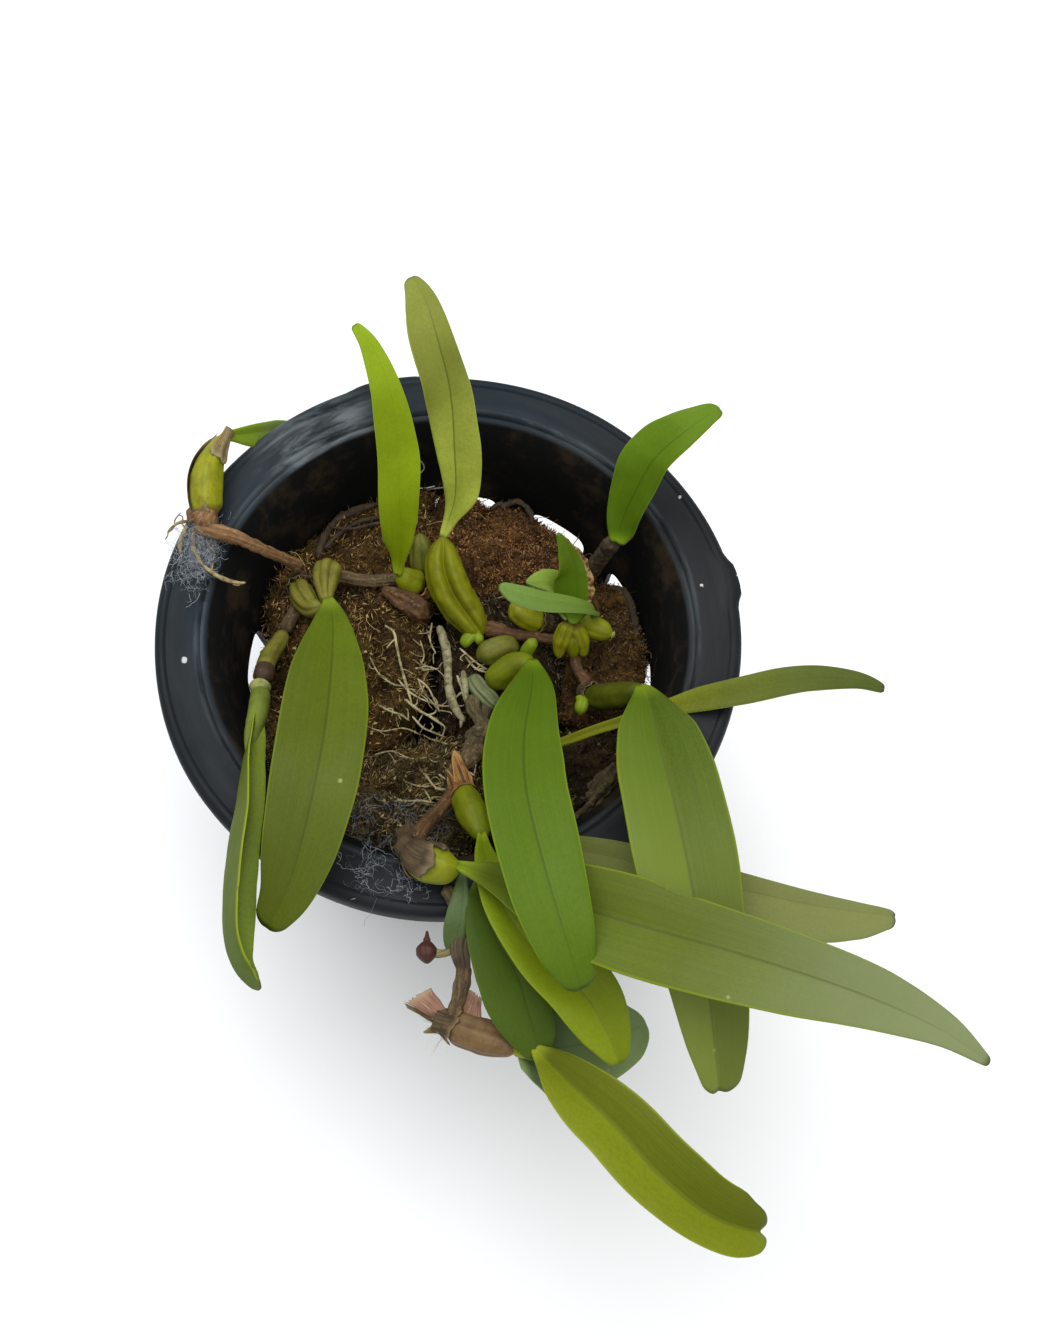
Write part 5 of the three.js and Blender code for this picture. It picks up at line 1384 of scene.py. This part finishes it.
        ("wood", [(14.4, -93, 140.8), (13.8, -98, 140), (15.6, -104, 139), (16.2, -109, 138)],
         (1.9, 2.9, 2.5, 1.9, 1.7), [(-30, 0.26, 10), (10, 0.32, 8), (46, 0.26, 10), (-70, 0.2, 12)]),
        ("brown", [(15.6, -102, 139.2), (15.4, -109, 137.4), (13.6, -117, 133.6)], (2.2, 2.3, 2, 2.4), []),
    ],
}


# Bodies that stand for no CAD node: an old papery bulb, a small bud on the right, and strips of
# bark at the edges of the two right-hand husk chunks.
EXTRAS = {
    "old_bulb_by_bulb_back_small": [
        ("rust", [(-25, 22, 113.2), (-20, 19.2, 115), (-14.4, 16.6, 115), (-8.6, 13.4, 113.2)],
         (1.2, 2.6, 3.7, 4, 2.4), [(-20, 0.24, 12), (34, 0.2, 12)]),
    ],
    "bud_by_bulb_right": [
        ("bud", [(45.4, -8.4, 112), (43.8, -12, 114.4), (43.4, -15.6, 113.4)], (1.4, 2.3, 2.2, 1.3),
         [(0, 0.14, 12)]),
        ("bud", [(44.6, -10.6, 113.4), (41.6, -9.8, 115)], (1.6, 1.5, 0.8), []),
    ],
    "bark_strip_right": [
        ("dark", [(50.4, 35.6, 103.6), (54.6, 33.6, 106), (57.6, 29.4, 106.6), (59.2, 24, 106.4),
                  (60.4, 18.6, 105), (62.4, 12, 103.6)], (0.8, 1.3, 1.2, 1.3, 0.9), []),
    ],
    "bark_plank_lower_right": [
        ("grey", [(38, -50, 97), (45, -43.6, 99.6), (51.6, -35.6, 100.4), (57.4, -25.6, 100),
                  (60.6, -17, 98.4)],
         (3.4, 4.4, 4.6, 4.2, 3), [(-30, 0.1, 8), (10, 0.14, 8), (50, 0.1, 8)]),
    ],
}


def make_bodies():
    looks = {look: bulb_material(f"bulb_{look}", *tones) for look, tones in BULB_LOOKS.items()}
    looks.update({look: bark_material(f"bark_{look}", *tones) for look, tones in BARK_LOOKS.items()})
    for name, parts in (BODIES | EXTRAS).items():
        for k, (look, route, radii, furrows) in enumerate(parts):
            shape = Shape()
            bark = look in BARK_LOOKS
            add_body(shape, route, radii, furrows, sides=64 if furrows else 28, spacing=0.5,
                     lumps=0.17 if bark else 0.05, lump_size=1.8 if bark else 3.2, seed=k)
            if bark:
                add_nodes(shape, route, radii)
            node = name if k == 0 and name in BODIES else None
            place(f"{name}_{k + 1}", shape, looks[look], node)


FIRST_SCAR = 2.2
SCAR_SPACING = 3.4


def add_nodes(shape, route, radii):
    """The raised scars that ring a rhizome, a few millimetres apart."""
    steps = 80
    path = smooth_path(route, steps)
    length = length_of(path)
    radius = even_values(radii, np.linspace(0, 1, steps))
    for at in np.arange(FIRST_SCAR, length - 1.5, SCAR_SPACING):
        k = int(at / length * (steps - 1))
        k = min(max(k, 2), steps - 3)
        band = path[k - 1:k + 2]
        add_body(shape, band, (radius[k] * 1.02, radius[k] * 1.16, radius[k] * 1.02), sides=24,
                 spacing=0.25, lumps=0.16, lump_size=1.4, seed=at, blunt=True)


# Bracts and dry flaps

# Light and dark veins, and the far edge.
SHEATH_LOOKS = {
    "brown": ((0.11, 0.072, 0.036), (0.045, 0.029, 0.016), (0.24, 0.175, 0.09)),
    "orange": ((0.42, 0.2, 0.05), (0.15, 0.065, 0.02), (0.5, 0.3, 0.12)),
    "pink": ((0.36, 0.2, 0.14), (0.17, 0.085, 0.05), (0.45, 0.34, 0.2)),
    "bronze": ((0.19, 0.13, 0.045), (0.09, 0.06, 0.025), (0.3, 0.24, 0.12)),
    "straw": ((0.3, 0.23, 0.09), (0.14, 0.1, 0.045), (0.34, 0.28, 0.14)),
}

# A bract wraps one part of a body. Its row is the CAD node it stands for, if any, the body and the
# part, its look, where it starts and ends along that part, the angles from the top that it covers,
# how far its edge flares out, and how ragged and pointed that edge is.
BRACTS = (
    ("sheath_near_rim", "bulb_near_rim", 0, "brown", -0.14, 0.7, (-46, 74), 0.2, 0.05, 0.25),
    (None, "bulb_near_rim", 0, "brown", -0.12, 0.74, (-160, -64), 0.3, 0.06, 0.1),
    (None, "bulb_near_rim", 0, "brown", 0.3, 0.76, (-72, -38), 0.3, 0.04, 0),
    (None, "bulb_near_rim", 0, "brown", -0.12, 0.34, (66, 170), 0.2, 0.06, 0.2),
    ("sheath_near_inner", "bulb_near_inner", 0, "orange", 0.14, -0.56, (-70, 30), 1.0, 0.04, 0.8),
    (None, "bulb_near_inner", 0, "orange", 0.16, -0.3, (20, 86), 0.5, 0.03, 0.7),
    (None, "bulb_near_inner", 0, "brown", 0.1, -0.3, (-120, 130), 0.3, 0.1, 0),
    (None, "bulb_far_left", 0, "brown", 0.0, 1.04, (-118, -62), 0.2, 0.06, 0.3),
    (None, "bulb_far_left", 0, "straw", 1.08, 0.66, (-10, 120), 0.1, 0.04, 0.2),
    (None, "bulb_left", 1, "brown", -0.1, 0.16, (-120, 150), 0.4, 0.1, 0),
    (None, "bulb_back_small", 0, "orange", -0.1, 0.2, (-150, 150), 0.4, 0.1, 0),
    (None, "bulb_tuft_left", 0, "brown", -0.1, 0.2, (-150, 150), 0.3, 0.1, 0),
    (None, "bulb_right", 0, "brown", -0.05, 0.14, (-150, 150), 0.3, 0.1, 0),
    (None, "bulb_withered", 0, "brown", -0.1, 0.22, (-160, 100), 0.3, 0.06, 0.1),
)

# Dry flaps. A row is the CAD node it stands for, if any, its look, four corners, and how far the
# sheet between them bows up in the middle.
FLAPS = (
    ("sheath_hanging", "pink", (12.6, -119, 133.2), (12.2, -114.6, 134), (7, -108.8, 133.4),
     (-0.4, -113.1, 132), -1.4),
    (None, "bronze", (13, -120.4, 132.8), (11, -117.6, 133), (-0.2, -113.4, 132.2),
     (0.4, -114.6, 131.6), 0.4),
    (None, "bronze", (13.6, -121, 132.8), (12.4, -117.6, 133), (8.4, -118.4, 132.2),
     (5.4, -121.4, 131.8), 0.6),
    (None, "pink", (14.4, -114, 134.6), (22, -118, 136), (21.6, -111, 137.6), (16.4, -108.6, 137.8), 1.6),
    (None, "brown", (14, -101, 139.6), (9.6, -99.4, 138.6), (13.4, -93.4, 139.6), (15.6, -96, 141.4), 0.8),
    (None, "brown", (-4, -62, 137.4), (-8.4, -66, 140), (-6.4, -73, 145.4), (-1.6, -69, 146.4), 1.4),
    (None, "bronze", (-83.4, 23, 144.6), (-85, 27.4, 145.4), (-79, 31, 150), (-76.4, 25.6, 149), 1.2),
)


def add_flap(shape, corners, bow, seed):
    """A crumpled sheet between four corners, with torn edges."""
    a, b, c, d = (np.array(corner, float) for corner in corners)
    steps = 22
    s, t = np.meshgrid(np.linspace(0, 1, steps), np.linspace(0, 1, steps), indexing="ij")
    wobble = np.array([noise.noise(Vector((k * 0.3, seed, 0))) for k in range(steps)])
    s = s * (1 - 0.16 * np.abs(wobble)[None] * s)
    t = 0.5 + (t - 0.5) * (1 - 0.08 * np.abs(np.sin(s * 5 + seed)))
    s, t = s[..., None], t[..., None]
    grid = (a * (1 - s) + d * s) * (1 - t) + (b * (1 - s) + c * s) * t
    face = unit(np.cross(d - a, b - a))
    grid = grid + face * (bow * np.sin(math.pi * t) * (0.35 + 0.65 * s))
    grid = grid + face * 0.6 * lumps_at(grid, 3.4, seed)[..., None]
    add_sheet(shape, grid, 0.3)


def make_bracts():
    looks = {look: sheath_material(f"sheath_{look}", *tones) for look, tones in SHEATH_LOOKS.items()}
    for k, (node, body, part, look, low, high, arc, flare, ragged, pointed) in enumerate(BRACTS):
        _, route, radii, _ = BODIES[body][part]
        shape = Shape()
        add_bract(shape, route, radii, low, high, arc, flare, ragged, pointed, k * 1.7)
        place(f"bract_{k + 1}_on_{body}", shape, looks[look], node)
    for k, (node, look, *corners, bow) in enumerate(FLAPS):
        shape = Shape()
        add_flap(shape, corners, bow, k * 2.3 + 1)
        place(f"dry_flap_{k + 1}", shape, looks[look], node)


# Roots

# Each root is its radius and its route. They lie on the husk, which raises them where it is
# higher. The rim roots hang over the rim, and the dark loops lie at the husk's far edge.
THICK_ROOTS = (
    (1.45, [(-5, 11, 113), (-3.2, 7, 113.6), (-1.4, 2, 114), (-0.2, -4.2, 114), (0.9, -11, 114),
            (3.6, -17.4, 113.8), (7, -21.6, 113.4)]),
    (1.0, [(4.6, -4, 113.4), (5.6, -8, 113.8), (6.6, -12.6, 113.8), (8.4, -17, 113.6), (11.4, -21, 113.4)]),
)
FINE_ROOTS = (
    (0.75, [(-22.5, 9.2, 113), (-19.2, 6.7, 114), (-17.6, 1.9, 114), (-15.2, -5.2, 113.6),
            (-11.6, -14.2, 113.4), (-10.4, -17, 113)]),
    (0.55, [(-9.8, -8.2, 113), (-5.9, -11.2, 113.4), (-2.7, -16.4, 113.6), (-1.2, -19, 113)]),
    (0.45, [(-10.9, -5.1, 113), (-7, -4, 113.6), (-3.1, -4.7, 113)]),
    (0.6, [(2.6, 3.6, 113.6), (5, 1.6, 114), (9.2, -1.3, 113.6), (13, -3, 113)]),
    (0.5, [(-16, -9, 113), (-12, -13, 113.4), (-7, -15.6, 113.8), (-1, -17, 113.6), (4, -16, 113)]),
    (0.5, [(-12, -49.4, 113.4), (-6, -50, 114.6), (2.4, -50.4, 114.4)]),
    (0.45, [(-3, -46.8, 113.5), (1.4, -47.6, 114.4), (5.4, -46.6, 114)]),
    (0.6, [(4.4, -38, 117.4), (8, -39, 119.4), (12.4, -41.4, 120.6)]),
    (0.45, [(-13, -40, 113), (-9, -43.6, 114), (-3, -44.6, 113.6), (3, -42.6, 114.4)]),
    (0.4, [(12, 26, 105.4), (18, 27.6, 106.6), (25, 26, 106), (31, 24, 105)]),
    (0.4, [(6, 22, 106), (10, 17, 107.4), (16, 16.4, 107)]),
    (0.65, [(-21.2, -18.2, 112), (-17.1, -19.9, 112), (-13.5, -20.8, 112), (-10.4, -22.6, 112)]),
    (0.8, [(-12.9, -15.3, 112), (-8.2, -18.9, 113), (-3.5, -21.1, 113), (1, -23.4, 112)]),
    (0.6, [(-9.9, -20.8, 112), (-6.3, -24.2, 112), (-3, -25.5, 112), (1.3, -26.8, 112)]),
    (0.6, [(-3, -28, 112), (2, -30.1, 112), (6, -31.3, 112)]),
    (0.5, [(-11.2, -3.4, 110), (-6.9, -3.6, 110), (-3.1, -2.8, 110)]),
    (0.45, [(-9.7, -7.2, 110), (-7.2, -11.8, 110), (-3.9, -15.3, 111), (-2, -17.5, 111)]),
    (0.4, [(-10.7, 6.9, 109), (-8.8, 1.8, 109), (-9.6, -2.9, 110)]),
    (0.6, [(-3.7, -40.3, 115), (0.7, -45.1, 116), (5, -45.3, 116)]),
    (0.7, [(-12.5, -49, 116), (-9.3, -50.3, 116), (-3.7, -50, 117), (0.6, -50.2, 117)]),
    (0.5, [(0.8, -40.5, 116), (3.5, -42.2, 117), (5.3, -42, 117)]),
    (0.7, [(4.7, 1.6, 112), (8.4, -2.6, 113), (12.8, -3.9, 113)]),
    (0.5, [(-7.4, 12.9, 111), (-7.3, 6.4, 111), (-4.8, 1.4, 112)]),
    (0.8, [(2.8, -5.3, 112), (5, -10.3, 113), (6.8, -15.3, 113)]),
    (0.45, [(-26, -2, 112), (-22, -8, 112.6), (-16.4, -11, 112.4), (-11, -10, 112)]),
    (0.4, [(-24, -26, 113), (-18.6, -27.4, 113.4), (-12, -25.6, 113), (-6, -27, 112)]),
    (0.4, [(-20, -36, 115), (-14.4, -34.6, 116), (-8, -36.4, 116), (-2, -35, 115.4)]),
)
RIM_ROOTS = (
    (0.75, [(-82.4, 22.6, 142.8), (-81.4, 16.6, 142), (-77.4, 10.8, 141.8), (-71.6, 7.4, 141.4),
            (-66, 6.2, 141.4), (-63.6, 6.6, 141.2)]),
    (0.6, [(-84.4, 25, 142.6), (-88, 24.2, 141.6), (-91, 21.6, 139.6)]),
    (0.75, [(-84.6, 23.6, 142.4), (-86, 19, 141.2), (-85.4, 14.4, 140.6)]),
    (0.5, [(-78.4, 22.6, 142.4), (-77, 18, 141.2), (-74.4, 16, 140.8)]),
)
DARK_LOOPS = (
    (1.0, [(11, 60, 104), (13, 62, 106.6), (17, 62.5, 108), (21, 59.4, 107), (22, 56, 104)]),
    (0.8, [(7, 60.4, 103.4), (10.3, 62, 106), (13.4, 60.3, 104.6), (16, 57.6, 103.6)]),
    (1.3, [(-48.2, 32.3, 109), (-47.6, 40, 109), (-44.2, 47.6, 109), (-38, 52.6, 109),
           (-31, 55.6, 109)]),
    (0.8, [(-46.6, 36, 110), (-43, 41.6, 110), (-36.4, 47.6, 110), (-28, 50.4, 110)]),
    (0.5, [(-46, 44, 111), (-38, 43.4, 112.6), (-30, 46.4, 112.4), (-22, 47.4, 112)]),
)


def make_roots():
    velamen = root_material("velamen", (0.28, 0.255, 0.14), (0.12, 0.1, 0.052), (0.045, 0.033, 0.017))
    wiry = root_material("wiry_roots", (0.42, 0.36, 0.2), (0.18, 0.14, 0.06), (0.065, 0.044, 0.022))
    dry = root_material("dry_roots", (0.33, 0.26, 0.13), (0.16, 0.11, 0.05), (0.06, 0.038, 0.018))
    dark = root_material("dark_roots", (0.07, 0.045, 0.028), (0.035, 0.023, 0.015), (0.015, 0.01, 0.008))
    groups = (
        ("roots_on_husk_thick", velamen, THICK_ROOTS, "roots_on_husk", 1.0),
        ("roots_on_husk_fine", wiry, FINE_ROOTS, None, 0.58),
        ("roots_far_left_hanging", dry, RIM_ROOTS, "roots_far_left", 0.85),
        ("roots_dark_loops", dark, DARK_LOOPS, None, 1.0),
    )
    for name, material, roots, node, scale in groups:
        shape = Shape()
        for radius, route in roots:
            radii = np.array((0.8, 1.1, 0.9, 1.1, 0.6)) * radius * scale
            add_body(shape, settled(route, radius), radii, sides=10, spacing=0.5, lumps=0.2,
                     lump_size=1.8, seed=radius)
            add_rootlets(shape, route, radius)
        place(name, shape, material, node)


def add_rootlets(shape, route, radius):
    """Three short side roots, thinner than the root they leave."""
    path = smooth_path(route, 40)
    for k in range(9, 38, 14):
        start = path[k]
        lean = random.normal(0, 1, 3) * (1, 1, 0.1)
        end = start + unit(lean) * random.uniform(2.5, 5.5)
        middle = (start + end) / 2 + random.normal(0, 0.7, 3) * (1, 1, 0.2)
        thin = radius * 0.38
        add_body(shape, settled([start, middle, end], thin), (thin, thin, thin * 0.6), sides=6,
                 spacing=0.7, lumps=0.1, seed=k)


# Withered shoot and hairs

def make_withered_shoot():
    """The round dry bud with its point, and its stalk."""
    skin = bulb_material("dry_bud", (0.07, 0.024, 0.016), (0.028, 0.01, 0.008), (0.05, 0.02, 0.014))
    bark = bark_material("dry_stalk", (0.3, 0.26, 0.12), (0.13, 0.1, 0.045), (0.3, 0.2, 0.12))
    bud = Shape()
    add_body(bud, [(5.2, -103, 137.6), (4.7, -99.6, 138), (4.4, -96.4, 138.2)], (2, 3.2, 3.1, 2),
             [(0, 0.1, 14), (90, 0.1, 14), (-90, 0.1, 14)], sides=48, spacing=0.3, lumps=0.05)
    add_body(bud, [(4.4, -97.4, 138.2), (4.3, -95.4, 138.4), (4.1, -93.8, 138.2)], (1.7, 0.7, 0.3),
             sides=16, spacing=0.3)
    place("bud_withered_skin", bud, skin, "bud_withered")
    stalk = Shape()
    add_body(stalk, [(6, -99.8, 138), (9.4, -99.8, 138.4), (13.6, -98, 139.6)], (1.5, 1.1, 1.5),
             sides=20, spacing=0.4, lumps=0.14, lump_size=1.2)
    place("bud_withered_stalk", stalk, bark)


def scattered(low, high, count):
    """Random places in the box between two corners."""
    low, high = np.array(low, float), np.array(high, float)
    return low + random.random((count, 3)) * (high - low)


# Hairs on the rim go no lower than this, which is just above its flat top.
LOWEST_ON_RIM = 139.7

# Routes of the threads on the pot's far wall.
WALL_LOOPS = (
    [(-24.1, 65.5, 122.9), (-21.5, 66.6, 124.3), (-18.2, 67.3, 122.4), (-16.3, 67.2, 117.8),
     (-17.7, 66.4, 114.8), (-21, 65.4, 114.5), (-23, 64.5, 112.9)],
    [(-23, 64.5, 113.6), (-20.4, 64.6, 107.8), (-16.4, 65.5, 106.2), (-12.7, 66.4, 106.8)],
    [(-17.8, 65, 104.8), (-11, 66.6, 105.5), (-3.4, 67.5, 106.2)],
)


def hairs_on_rim(material):
    """Root hairs where the far-left growth lies on the rim."""
    shape = Shape()
    count = 900
    spread = random.normal(0, 1, (count, 2)) * (5.6, 5)
    roots = np.column_stack([np.array((-77.5, 14.5)) + spread, np.full(count, 140.4)])
    from_axis = np.hypot(roots[:, 0], roots[:, 1])
    roots = roots[(from_axis > RIM_INNER_RADIUS + 0.6) & (from_axis < RIM_RADIUS - 2)]
    sway = random.normal(0, 1, roots.shape) * (1, 1, 0.12)
    add_hairs(shape, roots, sway, random.uniform(4, 10, len(roots)), 0.1, 0.75, joints=9,
              lowest=LOWEST_ON_RIM)
    count = 240
    roots = scattered((-84, 19, 141), (-76, 24, 143), count)
    add_hairs(shape, roots, random.normal(0, 0.6, roots.shape) + (0.1, -0.6, -0.1),
              random.uniform(5, 13, count), 0.1, 0.6, joints=12, lowest=LOWEST_ON_RIM)
    place("hairs_on_rim", shape, material)


def hairs_near_edge(material):
    """Root hairs on the near edge of the husk, and on the rim beside it."""
    shape = Shape()
    roots = scattered((-26, -64, 114), (6, -50, 114), 440)
    roots[:, 2] = [ground(x, y) for x, y, _ in roots]
    roots = roots[roots[:, 2] > 90]
    sway = random.normal(0, 1, roots.shape) * (1, 1, 0.3) + (0, -0.4, 0.5)
    add_hairs(shape, roots, sway, random.uniform(4, 12, len(roots)), 0.1, 0.7, joints=10)
    roots = scattered((-19, -86, 140), (3, -74, 140), 70)
    roots = roots[np.hypot(roots[:, 0], roots[:, 1]) < RIM_RADIUS - 3]
    sway = random.normal(0, 1, roots.shape) * (1, 1, 0.1)
    add_hairs(shape, roots, sway, random.uniform(7, 16, len(roots)), 0.09, 0.7, joints=14,
              lowest=LOWEST_ON_RIM)
    place("hairs_near_edge", shape, material)


def loops_on_far_wall(material):
    """Dry threads that cling to the inside of the pot's far wall."""
    shape = Shape()
    for route in WALL_LOOPS:
        inward = [(x * 0.994, y * 0.994, z) for x, y, z in route]
        add_body(shape, inward, (0.2, 0.26, 0.2), sides=8, spacing=0.4, lumps=0.1)
    place("loops_on_far_wall", shape, material)


def hairs_on_withered_shoot(material):
    """A tuft of dry hairs at the end of the withered shoot's rhizome."""
    shape = Shape()
    roots = scattered((2, -122, 131.4), (12, -110, 133), 34)
    sway = random.normal(0, 1, roots.shape) * (1, 1, 0.3) + (-0.5, 0, 0)
    roots = np.array([12.6, -117.6, 132.6]) + (roots - roots.mean(0)) * 0.2
    add_hairs(shape, roots, sway, random.uniform(5, 12, len(roots)), 0.14, 0.25, joints=7)
    place("hairs_on_withered_shoot", shape, material)


def make_hairs():
    blue = hair_material("root_hairs", (0.16, 0.18, 0.2), (0.5, 0.53, 0.58))
    white = hair_material("dry_hairs", (0.3, 0.28, 0.24), (0.75, 0.72, 0.65))
    hairs_on_rim(blue)
    hairs_near_edge(blue)
    loops_on_far_wall(white)
    hairs_on_withered_shoot(white)


make_camera()
make_studio()
make_floor()
make_pot()
make_husk()
make_bodies()
make_leaves()
make_bracts()
make_roots()
make_withered_shoot()
make_hairs()
